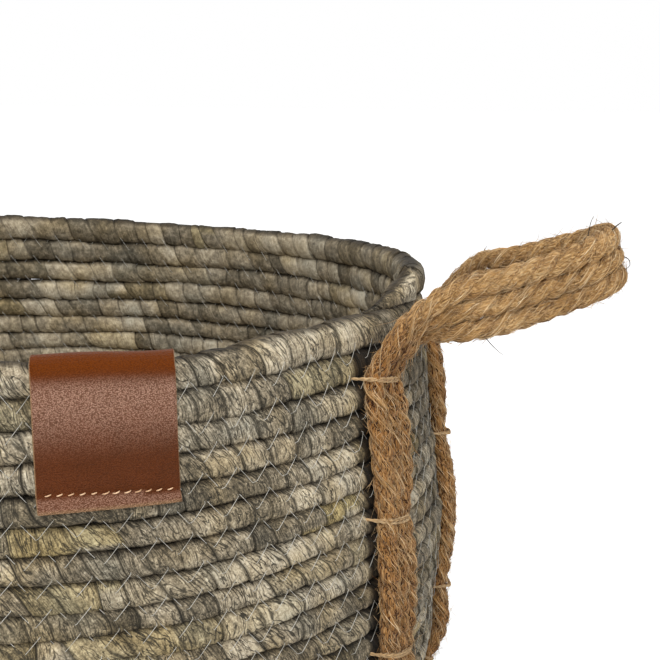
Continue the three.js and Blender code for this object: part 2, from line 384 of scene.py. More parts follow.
@dataclass(frozen=True)
class DriedLeafWrap(Finish):
    """Split dried leaf, wound round the core: dull, with dark fibre lines, dark folds and painted
    shade.

    Its sizes are millimetres. The leaf's real fibres are finer than the picture can show, so
    they are drawn 1.35 mm apart. They sway by line_sway spacings and fade every line_length.
    """

    specular: float = 0.3
    relief: float = 1.2
    strip_width: float = 12.0
    girth: float = 33.0
    line_spacing: float = 1.35
    line_sway: float = 6.0
    line_length: float = 15.0
    line_slant: float = 0.35
    streak: float = 0.9
    mottle: float = 2.6
    speckle: float = 0.7
    patch: float = 26.0
    leaf: tuple[tuple[float, str], ...] = (
        (0.1, "3b352a"),
        (0.32, "716857"),
        (0.5, "a0947f"),
        (0.66, "c6baa3"),
        (0.9, "e6dcc6"),
    )
    weather: tuple[tuple[float, str], ...] = ((0.3, "e4e8ea"), (0.48, "fffdf8"), (0.68, "f8f0dc"))
    yellow: str = "f6eebc"
    dark: str = "2b271d"
    # Painted shade in the gaps between rows, at each rope's top and bottom.
    painted_gap_shade: str = "5f574a"
    # Painted shadow of the handles' ropes on the leaf under and beside them.
    rope_shadow_colour: str = "5a5145"
    reads: ClassVar[tuple[str, ...]] = (
        "strip_across",
        "strip_along",
        "leaf_tone",
        "leaf_yellow",
        "row_gap_shade",
        "by_ropes",
        "fibre_lines",
        "fold_dark",
    )

    def dress(self, tree: Tree, kept: dict[str, Socket]) -> tuple[Socket, Socket]:
        """Mottle each strip, draw its fibres as dark lines, darken its folds, and paint shade
        between the rows and beside the handles' ropes.

        Args:
            tree: the material's node tree.
            kept: sockets of the vertices' numbers.

        Returns:
            Sockets of the colour and of the height of the grain.
        """
        axes = {"X": kept["strip_across"], "Y": kept["strip_along"]}
        turns = add_node(tree, "CombineXYZ", links=axes).outputs[0]
        span = {"operation": "MULTIPLY", 1: (self.strip_width, self.girth, 0.0)}
        strip = add_node(tree, "VectorMath", span, {0: turns}).outputs[0]
        space = add_node(tree, "TexCoord").outputs["Object"]
        even = lambda size, detail: grain(tree, space, (1 / (size * MM),) * 3, detail)
        mottle, speckle = even(self.mottle, 3.0), even(self.speckle, 1.0)
        patch = even(self.patch, 2.0)
        streak = grain(tree, strip, (1 / self.streak, 1 / self.line_length, 0.0), 3.0)
        shade = kept["leaf_tone"]
        for source, weight, fine in (
            (streak, 0.5, True),
            (mottle, 0.75, False),
            (speckle, 0.6, True),
            (patch, 0.5, False),
        ):
            centred = {"operation": "MULTIPLY_ADD", 1: weight, 2: -0.5 * weight}
            part = add_node(tree, "Math", centred, {0: source}).outputs[0]
            if fine:
                crisp = {0: part, 1: kept["fibre_lines"]}
                part = add_node(tree, "Math", {"operation": "MULTIPLY"}, crisp).outputs[0]
            shade = add_node(tree, "Math", {"operation": "ADD"}, {0: shade, 1: part}).outputs[0]
        ramp = add_node(tree, "ValToRGB", links={"Fac": shade})
        set_ramp(ramp, self.leaf)
        weather = add_node(tree, "ValToRGB", links={"Fac": even(self.patch * 0.7, 1.0)})
        set_ramp(weather, self.weather)
        tint = {"data_type": "RGBA", "blend_type": "MULTIPLY"}
        sockets = {6: ramp.outputs["Color"], 7: weather.outputs["Color"]}
        colour = add_node(tree, "Mix", {**tint, 0: 1.0}, sockets).outputs[2]
        marks = self.marks(tree, kept, strip, patch)
        for blend, factor, code in (
            ("MULTIPLY", kept["leaf_yellow"], self.yellow),
            ("MIX", marks, self.dark),
            # Painted shade in the gaps between rows.
            ("MULTIPLY", kept["row_gap_shade"], self.painted_gap_shade),
            # Painted shadow under and beside the handles' ropes.
            ("MULTIPLY", kept["by_ropes"], self.rope_shadow_colour),
        ):
            layer = {"data_type": "RGBA", "blend_type": blend, 7: linear(code)}
            colour = add_node(tree, "Mix", layer, {0: factor, 6: colour}).outputs[2]
        height = streak
        for source, weight in ((mottle, 0.6), (speckle, 0.25), (marks, -0.35)):
            weighed = {"operation": "MULTIPLY_ADD", 1: weight}
            height = add_node(tree, "Math", weighed, {0: source, 2: height}).outputs[0]
        return colour, height

    def marks(
        self, tree: Tree, kept: dict[str, Socket], strip: Socket, patch: Socket
    ) -> Socket:
        """Draw the fibre lines, the fine creases across them and the strips' dark edges, which are
        partly darker folded leaf and partly painted shade in the crease between wraps.

        Args:
            tree: the material's node tree.
            kept: sockets of the vertices' numbers.
            strip: where a point is on the strip, in millimetres.
            patch: broad noise, to thin the lines out here and there.

        Returns:
            A socket that is 0 on bare leaf and up to 1 on a mark.
        """
        across, crisp = kept["strip_across"], kept["fibre_lines"]
        turned = {"rotation_type": "Z_AXIS", "Angle": self.line_slant}
        slanted = add_node(tree, "VectorRotate", turned, {"Vector": strip}).outputs[0]
        drawn = lambda place, size, detail: grain(
            tree, place, (1 / size, 1 / self.line_length, 0.0), detail
        )
        thinned = {"From Min": 0.3, "From Max": 0.56, "To Max": 0.8}
        dense = add_node(tree, "MapRange", thinned, {"Value": patch, "To Min": crisp}).outputs[0]
        dense = add_node(tree, "Math", {"operation": "MULTIPLY"}, {0: dense, 1: crisp}).outputs[0]
        lines_across = {"operation": "MULTIPLY", 1: self.strip_width / self.line_spacing}
        counted = add_node(tree, "Math", lines_across, {0: across}).outputs[0]
        swaying = {"operation": "MULTIPLY_ADD", 1: self.line_sway}
        sway = {0: drawn(strip, self.line_spacing * 4, 1.5), 2: counted}
        swayed = add_node(tree, "Math", swaying, sway).outputs[0]
        back_and_forth = {"operation": "PINGPONG", 1: 0.5}
        from_line = add_node(tree, "Math", back_and_forth, {0: swayed}).outputs[0]
        from_edge = add_node(tree, "Math", back_and_forth, {0: across}).outputs[0]
        faded = {"From Min": 0.42, "From Max": 0.56, "To Min": 0.05}
        broken = {"Value": drawn(slanted, self.line_spacing, 2.0)}
        strength = add_node(tree, "MapRange", faded, broken).outputs[0]
        creases = hairlines(tree, drawn(slanted, self.line_spacing * 3.1, 2.5), 0.014)
        near = lambda start, end, away, most: add_node(
            tree,
            "MapRange",
            {"From Min": start, "From Max": end, "To Max": 0.0},
            {"Value": away, "To Min": most},
        ).outputs[0]
        fibres = near(0.07, 0.2, from_line, strength)
        # The strips' edges: partly darker folded leaf, partly painted shade in the crease between
        # wraps.
        folds = near(0.01, 0.075, from_edge, kept["fold_dark"])
        marks = fibres
        for step, source in (("MAXIMUM", creases), ("MULTIPLY", dense), ("MAXIMUM", folds)):
            marks = add_node(tree, "Math", {"operation": step}, {0: marks, 1: source}).outputs[0]
        return marks


@dataclass(frozen=True)
class JuteFibre(Finish):
    """Spun jute: dull golden bast fibre, pale where it catches the light and brown in its lays.

    Single fibres are too fine for the picture, so they are drawn half a millimetre apart, and
    the gaps between their bundles 2.4 times as far.
    """

    specular: float = 0.12
    sheen: float = 0.08
    relief: float = 1.0
    dark: str = "4f351c"
    body: str = "b38954"
    pale: str = "e3c493"
    # Tint of the jute's redness and of the stretches' painted shade.
    red_and_shade_tint: str = "d0ae82"
    gap: str = "5a3a1c"
    fibre_spacing: float = 0.5
    fibre_length: float = 14.0
    reads: ClassVar[tuple[str, ...]] = ("fibre_x", "fibre_y", "fibre_z", "fibre_red")

    def dress(self, tree: Tree, kept: dict[str, Socket]) -> tuple[Socket, Socket]:
        """Streak the yarns along their fibres, and tint them redder and darker in patches, by their
        redness and painted shade.

        Args:
            tree: the material's node tree.
            kept: sockets of the vertices' numbers.

        Returns:
            Sockets of the colour and of the height of the grain.
        """
        axes = {axis: kept[f"fibre_{axis.lower()}"] for axis in "XYZ"}
        place = add_node(tree, "CombineXYZ", links=axes).outputs[0]
        thick = 1 / self.fibre_spacing
        streak = grain(tree, place, (thick, 1 / self.fibre_length, thick), 4.0)
        bundles = (thick / 2.4, 0.45 / self.fibre_length, thick / 2.4)
        gaps = hairlines(tree, grain(tree, place, bundles, 1.0), 0.05)
        patch = grain(tree, place, (0.06, 0.05, 0.06), 2.0)
        patchy = {"operation": "MULTIPLY_ADD", 1: 0.35}
        shade = add_node(tree, "Math", patchy, {0: patch, 2: streak}).outputs[0]
        ramp = add_node(tree, "ValToRGB", links={"Fac": shade})
        set_ramp(ramp, ((0.42, self.dark), (0.66, self.body), (0.9, self.pale)))
        colour = ramp.outputs["Color"]
        # Gaps darken more where the jute is redder, which on the stretches is painted shade.
        more = {"operation": "ADD", 1: 0.35, "use_clamp": True}
        worn = add_node(tree, "Math", more, {0: kept["fibre_red"]}).outputs[0]
        parting = add_node(tree, "Math", {"operation": "MULTIPLY"}, {0: gaps, 1: worn}).outputs[0]
        for factor, code in ((kept["fibre_red"], self.red_and_shade_tint), (parting, self.gap)):
            layer = {"data_type": "RGBA", "blend_type": "MULTIPLY", 7: linear(code)}
            colour = add_node(tree, "Mix", layer, {0: factor, 6: colour}).outputs[2]
        lowered = {"operation": "MULTIPLY_ADD", 1: -0.4}
        return colour, add_node(tree, "Math", lowered, {0: gaps, 2: streak}).outputs[0]


@dataclass(frozen=True)
class TannedLeather(Finish):
    """Chestnut leather with a pressed pebble grain: a soft sheen, partly painted on the upper face
    and the strip under the stitches, and a pale raw edge where cut.

    A pebble is about 0.45 mm across, and squeezed makes it wider than it is high.
    """

    specular: float = 0.07
    relief: float = 0.45
    face: str = "5a2f15"
    worn: str = "653418"
    # Colour of the painted sheen.
    painted_sheen: str = "b7917c"
    stretched: str = "6c3304"
    raw: str = "b9946e"
    valley: str = "8c7a6c"
    pebble: float = 0.45
    cloud: float = 14.0
    squeezed: tuple[float, float, float] = (0.8, 0.8, 1.3)
    reads: ClassVar[tuple[str, ...]] = ("stretched", "painted_sheen", "cut_edge")

    def dress(self, tree: Tree, kept: dict[str, Socket]) -> tuple[Socket, Socket]:
        """Grain the face, paint a sheen on its pebbles below the fold and under the stitches, and
        pale the cut edge.

        Args:
            tree: the material's node tree.
            kept: sockets of the vertices' numbers.

        Returns:
            Sockets of the colour and of the height of the grain.
        """
        place = add_node(tree, "TexCoord").outputs["Object"]
        squeeze = {"operation": "MULTIPLY", 1: self.squeezed}
        vector = {"Vector": add_node(tree, "VectorMath", squeeze, {0: place}).outputs[0]}
        pebbles = {"Scale": 1 / (self.pebble * MM)}
        height = add_node(tree, "TexVoronoi", pebbles, vector).outputs["Distance"]
        broad = {"Scale": 1 / (self.cloud * MM), "Detail": 3.0}
        cloud = add_node(tree, "TexNoise", broad, {"Vector": place}).outputs["Fac"]
        tint = add_node(tree, "ValToRGB", links={"Fac": cloud})
        set_ramp(tint, ((0.35, self.face), (0.7, self.worn)))
        raised = {"From Min": 0.1, "From Max": 0.65, "To Min": 1.2, "To Max": 0.3}
        on_top = add_node(tree, "MapRange", raised, {"Value": height}).outputs[0]
        # Painted sheen, palest on the pebbles' tops.
        clamped = {"operation": "MULTIPLY", "use_clamp": True}
        painted_sheen = add_node(tree, "Math", clamped, {0: kept["painted_sheen"], 1: on_top}).outputs[0]
        sunken = {"From Min": 0.25, "From Max": 0.7, "To Max": 0.45}
        sunk = add_node(tree, "MapRange", sunken, {"Value": height}).outputs[0]
        colour = tint.outputs["Color"]
        for blend, factor, code in (
            ("MIX", kept["stretched"], self.stretched),
            ("MIX", painted_sheen, self.painted_sheen),
            ("MIX", kept["cut_edge"], self.raw),
            ("MULTIPLY", sunk, self.valley),
        ):
            layer = {"data_type": "RGBA", "blend_type": blend, 7: linear(code)}
            colour = add_node(tree, "Mix", layer, {0: factor, 6: colour}).outputs[2]
        return colour, height


@dataclass(frozen=True)
class SewingThread(Finish):
    """Thread drawn as one even colour with a faint mottle: waxed, or clear nylon."""

    colour: str = "e2cfae"
    shaded: str = "c0a67e"
    mottle: float = 4.0

    def dress(self, tree: Tree, kept: dict[str, Socket]) -> tuple[Socket, None]:
        """Mottle the thread along its length.

        Args:
            tree: the material's node tree.
            kept: sockets of the vertices' numbers, of which it needs none.

        Returns:
            A socket of the colour, and no height.
        """
        place = add_node(tree, "TexCoord").outputs["Object"]
        texture = {"Scale": 1 / (self.mottle * MM), "Detail": 2.0}
        mottle = add_node(tree, "TexNoise", texture, {"Vector": place}).outputs["Fac"]
        ramp = add_node(tree, "ValToRGB", links={"Fac": mottle})
        set_ramp(ramp, ((0.35, self.shaded), (0.65, self.colour)))
        return ramp.outputs["Color"], None


# The coil's route


@dataclass
class CoilRoute:
    """Where the coil's rope runs, from its end on the rim down the wall and in over the base.

    A row of rises is the middle and width of a place where the rim stands up, in degrees, and
    how far. A row of swells adds how deep it lies and how tall it is. A row of sways is a
    wave's size, its number in a turn, how slowly it drifts from row to row, and its start.
    The bulge is one such wave, outwards.
    """

    pitch: float = 10.0
    coil_gap: float = 0.5
    coil_sides: int = 6
    rim_radius: float = 170.0
    wall_depth: float = 155.0
    belly_depth: float = 121.0
    belly_bulge: float = 8.5
    corner_radius: float = 35.0
    eye_radius: float = 3.5
    end_angle: float = math.radians(4)
    grain: float = 0.05
    top_rows_fuller: float = 0.25
    fuller_depth: float = 40.0
    rises: tuple[tuple[float, float, float], ...] = (
        (68, 28, -3.0),
        (135, 25, 4.5),
        (-16, 16, 2.2),
        (-45, 7, -1.8),
    )
    rise_depth: float = 60.0
    swells: tuple[tuple[float, float, float, float, float], ...] = (
        (10, 16, 0, 20, 2.2),
        (12, 13, 107, 27, 3.2),
    )
    sways: tuple[tuple[float, float, float, float], ...] = ((0.7, 3, 17, 0), (0.55, 8, -13, 2))
    sway_starts: float = 15.0
    sway_ends: float = 60.0
    bulge: tuple[float, float, float, float] = (0.35, 5, 4, 1)
    rim_height: float = field(init=False)
    wall_length: float = field(init=False)
    corner_end: float = field(init=False)
    total: float = field(init=False)
    tables: dict[str, np.ndarray] = field(init=False)

    def __post_init__(self) -> None:
        """Walk the section once and keep its points by length."""
        base = (self.pitch - self.coil_gap) / 2 * math.cos(math.pi / self.coil_sides)
        slope = lambda d: 2 * self.belly_bulge * (self.belly_depth - d) / self.belly_depth**2
        lean = math.atan(-slope(self.wall_depth))
        foot_radius = self.wall_radius(self.wall_depth)
        corner_x = foot_radius - self.corner_radius * math.cos(lean)
        corner_z = base + self.corner_radius
        foot = corner_z - self.corner_radius * math.sin(lean)
        self.rim_height = foot + self.wall_depth
        t = np.linspace(0, 1, 4000)
        half = self.wall_depth / 2
        ends = (
            (self.rim_radius, self.rim_radius + slope(0) * half, foot_radius),
            (self.rim_height, self.rim_height - half, foot),
        )
        wall = [(1 - t) ** 2 * a + 2 * t * (1 - t) * b + t**2 * c for a, b, c in ends]
        turn = np.linspace(-lean, -math.pi / 2, 800)[1:]
        corner = [
            corner_x + self.corner_radius * np.cos(turn),
            corner_z + self.corner_radius * np.sin(turn),
        ]
        inward = np.linspace(corner_x, self.eye_radius, 2000)[1:]
        x = np.concatenate([wall[0], corner[0], inward])
        z = np.concatenate([wall[1], corner[1], np.full(len(inward), base)])
        length = np.concatenate([[0], np.cumsum(np.hypot(np.diff(x), np.diff(z)))])
        self.total = length[-1]
        self.wall_length = length[len(t) - 1]
        self.corner_end = length[len(t) + len(corner[0]) - 1]
        even = np.arange(0, self.total, self.grain)
        x, z = np.interp(even, length, x), np.interp(even, length, z)
        along = unit(np.stack([np.gradient(x), np.gradient(z)], axis=1))
        walked = np.cumsum(FULL_TURN * x / self.pitch * self.grain)
        self.tables = {"length": even, "x": x, "z": z, "walked": walked}
        self.tables |= {"dx": along[:, 0], "dz": along[:, 1]}

    def wall_radius(self, depth: float) -> float:
        """Radius of the rope's centre at a depth under the rim's."""
        above_belly = (self.belly_depth - depth) / self.belly_depth
        return self.rim_radius + self.belly_bulge * (1 - above_belly**2)

    def length_at_depth(self, depth: float) -> float:
        """Length along the section at a depth under the rim's centre line."""
        return self.wall_length * depth / self.wall_depth

    def length_at_walk(self, walked: np.ndarray) -> np.ndarray:
        """Length along the section where the rope itself has run so far."""
        return np.interp(walked, self.tables["walked"], self.tables["length"])

    def walk_at_length(self, length: np.ndarray) -> np.ndarray:
        """How far the rope itself has run at a length along the section."""
        return np.interp(length, self.tables["length"], self.tables["walked"])

    def angle(self, length: np.ndarray) -> np.ndarray:
        """Angle about the axis at a length along the section."""
        return self.end_angle + FULL_TURN * np.asarray(length) / self.pitch

    def spaced(self, row: np.ndarray) -> np.ndarray:
        """Length along the section of an evenly counted row: the rows by the rim are fuller."""
        extra = self.top_rows_fuller * np.exp(-(row - self.pitch / 2) / self.fuller_depth)
        return row * (1 + np.where(row > 0, extra, 0.0))

    def rise(self, angle: np.ndarray, depth: np.ndarray | float) -> np.ndarray:
        """How much higher than a level rim the rows stand, which were pulled about in use.

        Args:
            angle: angle about the basket's axis.
            depth: length along the section.

        Returns:
            The rise in millimetres, for each angle.
        """
        total = 0.0
        for middle, width, height in self.rises:
            away = (np.degrees(angle) - middle + 180) % 360 - 180
            total = total + height * np.exp(-((away / width) ** 2))
        return total * np.exp(-np.maximum(depth, 0) / self.rise_depth)

    def swell(self, angle: np.ndarray, depth: np.ndarray) -> np.ndarray:
        """How far the wall stands out of its even curve, near the handles' back stretches.

        Args:
            angle: angle about the basket's axis.
            depth: length along the section.

        Returns:
            The swell in millimetres, for each angle.
        """
        total = 0.0
        for middle, width, down, tall, out in self.swells:
            away = (np.degrees(angle) - middle + 90) % 180 - 90
            total = total + out * np.exp(-((away / width) ** 2) - ((depth - down) / tall) ** 2)
        return total

    def row_place(
        self, row: np.ndarray, down: np.ndarray | float = 0.0, out: np.ndarray | float = 0.0
    ) -> np.ndarray:
        """A point near the rope of a row, where rows sag and swell a little as handwork does.

        Args:
            row: evenly counted length along the section, one pitch a turn.
            down: how far from there along the section.
            out: how far off the section, outwards.

        Returns:
            The points, in millimetres.
        """
        angle = self.angle(row)
        wave = lambda size, count, drift, start: size * np.sin(count * angle + row / drift + start)
        sway = sum(wave(*numbers) for numbers in self.sways)
        sway = sway * np.clip(row / self.sway_starts, 0, 1)
        sway = sway * np.clip((self.total - row) / self.sway_ends, 0, 1)
        middle = self.spaced(row)
        down = self.spaced(row + down) - middle + sway
        points = self.place(middle, angle, down, out + wave(*self.bulge))
        points[..., 2] = np.maximum(points[..., 2] + self.rise(angle, row), 0.0)
        return points

    def place(
        self,
        length: np.ndarray,
        angle: np.ndarray,
        down: np.ndarray | float = 0.0,
        out: np.ndarray | float = 0.0,
    ) -> np.ndarray:
        """A point near the coil's section.

        Args:
            length: length along the section.
            angle: angle about the basket's axis.
            down: how far from there along the section.
            out: how far off the section, outwards.

        Returns:
            The points, in millimetres.
        """
        take = lambda key: np.interp(length, self.tables["length"], self.tables[key])
        dx, dz = take("dx"), take("dz")
        out = out + self.swell(angle, length)
        radius = take("x") + dx * down - dz * out
        height = np.maximum(take("z") + dz * down + dx * out, 0.0)
        point = np.broadcast_arrays(radius * np.cos(angle), radius * np.sin(angle), height)
        return np.stack(point, axis=-1)


# The leaf-wrapped rope


@dataclass
class LeafWrapping:
    """The leaf strips wound round the coil's core, and how far their surface stands off it.

    A strip's turn leans across the rope. Its place is told by wraps: one wrap is one turn of the
    strip, and a line of fibre keeps its place across the strip while it runs round the rope.
    A name that ends in spread is the spread of a drawn number, in millimetres. Tones and
    yellows run from 0 to 1 and are given as a middle value and a spread.
    """

    walk: float
    mean_width: float = 12.0
    width_spread: float = 3.6
    width_limits: tuple[float, float] = (5.0, 21.0)
    fullness_spread: float = 0.2
    fold_spread: float = 0.11
    most_overlap: float = 0.75
    lump_spacing: float = 18.0
    lump_spread: float = 0.26
    lean_spread: float = 0.24
    slant_spread: float = 1.1
    strip_turns: tuple[float, float] = (0.5, 3.5)
    strip_tone: tuple[float, float] = (0.465, 0.088)
    strip_yellow: tuple[float, float] = (-0.25, 0.45)
    most_yellow: float = 0.85
    wrap_tone_spread: float = 0.055
    tone_limits: tuple[float, float] = (0.28, 0.64)
    # How dark the strips' edges are: partly darker folds, partly painted crease shade.
    fold_dark: tuple[float, float] = (0.75, 0.3)
    half_height: float = 5.2
    half_depth: float = 5.0
    squareness: float = 0.9
    seed: int = 11
    across: tuple[float, ...] = (0.0, 0.07, 0.21, 0.36, 0.52, 0.67, 0.82, 0.94, 1.0)

    def __post_init__(self) -> None:
        """Draw every strip's width, fullness, folds and tone once."""
        rng = np.random.default_rng(self.seed)
        count = int(self.walk / self.mean_width * 1.15) + 40
        widths = rng.normal(self.mean_width, self.width_spread, count)
        self.edges = np.concatenate([[0.0], np.cumsum(np.clip(widths, *self.width_limits))])
        self.fullness = rng.normal(0, self.fullness_spread, count + 2)
        self.folds = rng.normal(0, self.fold_spread, (count + 2, len(self.across)))
        self.overlap = rng.uniform(0.0, self.most_overlap, count + 2)
        self.fold_darks_and_shades = np.clip(rng.normal(*self.fold_dark, count + 2), 0, 1)
        knots = int(self.walk / self.lump_spacing) + 60
        self.lumps = rng.normal(0, self.lump_spread, knots)
        self.leans = rng.normal(0, self.lean_spread, (knots, 2))
        self.slants = rng.normal(0, self.slant_spread, (knots, 2))
        self.strip_starts = np.cumsum(rng.uniform(*self.strip_turns, 2 * count))
        tones = rng.normal(*self.strip_tone, 2 * count + 1)
        self.strip_tones = np.clip(tones, *self.tone_limits)
        yellows = rng.normal(*self.strip_yellow, 2 * count + 1)
        self.strip_yellows = np.clip(yellows, 0, self.most_yellow)
        self.wrap_tones = rng.normal(0, self.wrap_tone_spread, count + 2)

    def walk_at_wrap(self, wrap: np.ndarray) -> np.ndarray:
        """How far along the rope a number of wraps reaches."""
        return np.interp(wrap, np.arange(len(self.edges)), self.edges)

    def wrap_at_walk(self, walked: np.ndarray) -> np.ndarray:
        """The number of wraps in a length of rope."""
        return np.interp(walked, self.edges, np.arange(len(self.edges)))

    def slant(self, walked: np.ndarray, around: np.ndarray) -> np.ndarray:
        """How far a line of fibre strays along the rope from its even lean."""
        return self.leaning(walked / self.lump_spacing, self.slants, around)

    def leaning(self, place: np.ndarray, knots: np.ndarray, around: np.ndarray) -> np.ndarray:
        """A push to one side of the rope that wanders slowly from knot to knot.

        Args:
            place: how far along the rope, in knots.
            knots: the push up and the push out at each knot.
            around: angle round the rope.

        Returns:
            The push in millimetres.
        """
        number = np.arange(len(knots))
        up = np.interp(place, number, knots[:, 0]) * np.cos(around)
        return up + np.interp(place, number, knots[:, 1]) * np.sin(around)

    def lift(self, wrap: np.ndarray, share: np.ndarray, around: np.ndarray) -> np.ndarray:
        """How far the leaf stands off the plain rope.

        Args:
            wrap: whole number of the wrap.
            share: place across the strip, from 0 to 1.
            around: angle round the rope from its upper side, outwards.

        Returns:
            The lift in millimetres.
        """
        place = self.walk_at_wrap(wrap + share + around / FULL_TURN) / self.lump_spacing
        low = np.interp(place, np.arange(len(self.lumps)), self.lumps)
        side = self.leaning(place, self.leans, around)
        crown = (0.72 - 0.25 * np.sin(around)) * (np.sin(math.pi * share) ** 0.6 - 0.25)
        return self.fullness[wrap] + self.overlap[wrap] * (1 - share) ** 3 + crown + low + side

    def section(self, around: np.ndarray, lift: np.ndarray) -> tuple[np.ndarray, np.ndarray]:
        """Where a point of the rope's skin is: how far down the section, and how far out.

        Args:
            around: angle round the rope.
            lift: how far the leaf stands off the plain rope there.

        Returns:
            How far down the section the point is, and how far out.
        """
        cos, sin = np.cos(around), np.sin(around)
        pressed = np.maximum(lift, -0.15)
        down = -np.sign(cos) * np.abs(cos) ** self.squareness * (self.half_height + pressed)
        out = np.sign(sin) * np.abs(sin) ** self.squareness * (self.half_depth + lift)
        return down, out

    def tone(self, turns: np.ndarray, wrap: np.ndarray) -> tuple[np.ndarray, np.ndarray]:
        """Lightness and yellowness of the strip at a number of turns along it.

        Args:
            turns: how many turns of the strip come before the point.
            wrap: whole number of the wrap.

        Returns:
            Lightness and yellowness, from 0 to 1.
        """
        strip = np.searchsorted(self.strip_starts, turns)
        tone = np.clip(self.strip_tones[strip] + self.wrap_tones[wrap], *self.tone_limits)
        return tone, self.strip_yellows[strip]


@dataclass
class CoiledBody:
    """The coil itself, in lengths that each hold some of its turns.

    Its end on the rim is bound by a collar: a row of collar_ridges is a binding's place and
    width in degrees and its height. The rope is tail_size thick there and thins out to its
    tip. The rope_zone is the half width of the leaf that a handle's stretch hides, how far its
    shade fades, and where it starts.
    """

    route: CoilRoute
    wrapping: LeafWrapping
    finish: DriedLeafWrap = DriedLeafWrap("dried leaf wrap", 0.78)
    sides: int = 14
    tip_size: float = 0.1
    tail_size: float = 0.75
    tip_angle: float = math.radians(-15)
    collar_angle: float = math.radians(2.6)
    collar_step: float = math.radians(1.3)
    collar_slant: float = 4.5
    collar_ridges: tuple[tuple[float, float, float], ...] = (
        (1.3, 0.55, 1.7),
        (-0.5, 0.45, 1.3),
        (-2.6, 0.4, 0.8),
    )
    rope_zone: tuple[float, float, float] = (12.0, 2.2, 11.0)
    tip_darker: float = 0.16
    # How much lighter the collar's ridge tops are painted, and darker their flanks.
    painted_ridge_light: float = 0.1
    plain_ridge: float = 0.7
    inner_lines: float = 0.2
    inner_folds: float = 0.55
    zone_depth: float = 60.0
    zone_ends_past: float = 6.0
    zone_fade: float = 5.0

    def skin(self, wraps: np.ndarray) -> tuple[np.ndarray, list, dict[str, np.ndarray]]:
        """The skin over a run of wraps.

        Args:
            wraps: whole numbers of the wraps, in order.

        Returns:
            Points, faces and the numbers that the finish reads.
        """
        shares = np.array(self.wrapping.across)
        lines_per_wrap = len(shares)
        wrap = np.repeat(np.append(wraps, wraps[-1] + 1), lines_per_wrap)[:, None]
        level = np.tile(np.arange(lines_per_wrap), len(wraps) + 1)[:, None]
        share = shares[level]
        around = np.arange(self.sides) * FULL_TURN / self.sides
        along = wrap + around / FULL_TURN
        walked = self.wrapping.walk_at_wrap(wrap + share + around / FULL_TURN)
        lead = (self.tip_angle - self.route.end_angle) * self.route.rim_radius
        walked = np.maximum(walked + self.wrapping.slant(walked, around) + lead, lead)
        before = walked / (FULL_TURN * self.route.rim_radius) * self.route.pitch
        length = np.where(walked < 0, before, self.route.length_at_walk(walked))
        angle = self.route.angle(length)
        lift = self.wrapping.lift(wrap, share, around[None]) + self.wrapping.folds[wrap, level]
        from_collar = np.degrees(angle - self.collar_angle) + self.collar_slant * np.sin(around)
        ridge = 0.0
        for place, width, height in self.collar_ridges:
            ridge = ridge + height * np.exp(-(((from_collar - place) / width) ** 2))
        lift = lift + ridge
        down, out = self.wrapping.section(np.broadcast_to(around, lift.shape), lift)
        grown = (angle - self.tip_angle) / (self.collar_angle - self.tip_angle)
        tail = self.tip_size + (self.tail_size - self.tip_size) * smooth_step(grown)
        past_collar = smooth_step(0.5 + np.radians(from_collar) / (2 * self.collar_step))
        size = tail + (1 - tail) * past_collar
        sunk = (1 - size) * self.wrapping.half_height
        points = self.route.row_place(length, down * size + sunk, out * size)
        outer = smooth_step((np.sin(around) + 0.35) / 0.7)
        tone, yellow = self.wrapping.tone(along, wrap)
        tone = tone - self.tip_darker * (1 - size)
        # Painted highlight on the collar's ridge tops and painted shade on their flanks.
        tone = tone + self.painted_ridge_light * (ridge - self.plain_ridge) * (ridge > 0.05)
        values = {
            "strip_across": share,
            "strip_along": along,
            "leaf_tone": tone,
            "leaf_yellow": yellow,
            # Painted shade where the rows meet, at each rope's top and bottom.
            "row_gap_shade": smooth_step((np.abs(np.cos(around)) - 0.66) / 0.34),
            # Painted shadow of the handles' stretches, on the outside only.
            "by_ropes": self.by_ropes(length, angle) * outer,
            "fibre_lines": self.inner_lines + (1 - self.inner_lines) * outer,
            # The strips' dark edges, partly painted crease shade, fainter inside.
            "fold_dark": self.wrapping.fold_darks_and_shades[wrap]
            * (self.inner_folds + (1 - self.inner_folds) * outer),
        }
        vertices, faces, source = self.closed(points, len(wraps) * lines_per_wrap)
        spread_out = lambda numbers: np.broadcast_to(numbers, lift.shape).reshape(-1)[source]
        return vertices, faces, {name: spread_out(numbers) for name, numbers in values.items()}

    def closed(self, points: np.ndarray, lines: int) -> tuple[np.ndarray, list, np.ndarray]:
        """Join the lines of a run of wraps into one skin, and close its two ends with fans.

        A line that has run once round the rope goes on as the line one wrap further, so the
        seam joins each line's end to that one's start.

        Args:
            points: a grid of points, a row for each line of fibre, with one wrap to spare.
            lines: the number of lines in the run itself.

        Returns:
            The vertices, the faces, and the place in the grid that each vertex came from.
        """
        spare = len(self.wrapping.across)
        flat = points.reshape(-1, 3)
        grid = np.arange(len(flat)).reshape(-1, self.sides)
        upper, lower = grid[: lines - 1], grid[1:lines]
        body = np.stack([upper[:, :-1], upper[:, 1:], lower[:, 1:], lower[:, :-1]], axis=-1)
        next_wrap = grid[spare : lines + spare, 0]
        seam = np.stack([upper[:, -1], next_wrap[:-1], next_wrap[1:], lower[:, -1]], axis=-1)
        ends = [
            np.append(grid[line], grid[line + spare : line : -1, 0]) for line in (0, lines - 1)
        ]
        used = np.zeros(len(flat), bool)
        used[: lines * self.sides] = True
        used[grid[lines : lines + spare, 0]] = True
        number = np.cumsum(used) - 1
        count = int(used.sum())
        faces = number[np.vstack([body.reshape(-1, 4), seam])].tolist()
        for middle, (end, step) in enumerate(zip(ends, (-1, 1)), count):
            ring = number[end][::step]
            faces += [[middle, int(a), int(b)] for a, b in zip(ring, np.roll(ring, -1))]
        source = np.append(np.flatnonzero(used), [end[0] for end in ends])
        vertices = flat[source]
        vertices[-2:] = [flat[end].mean(axis=0) for end in ends]
        return vertices, faces, source

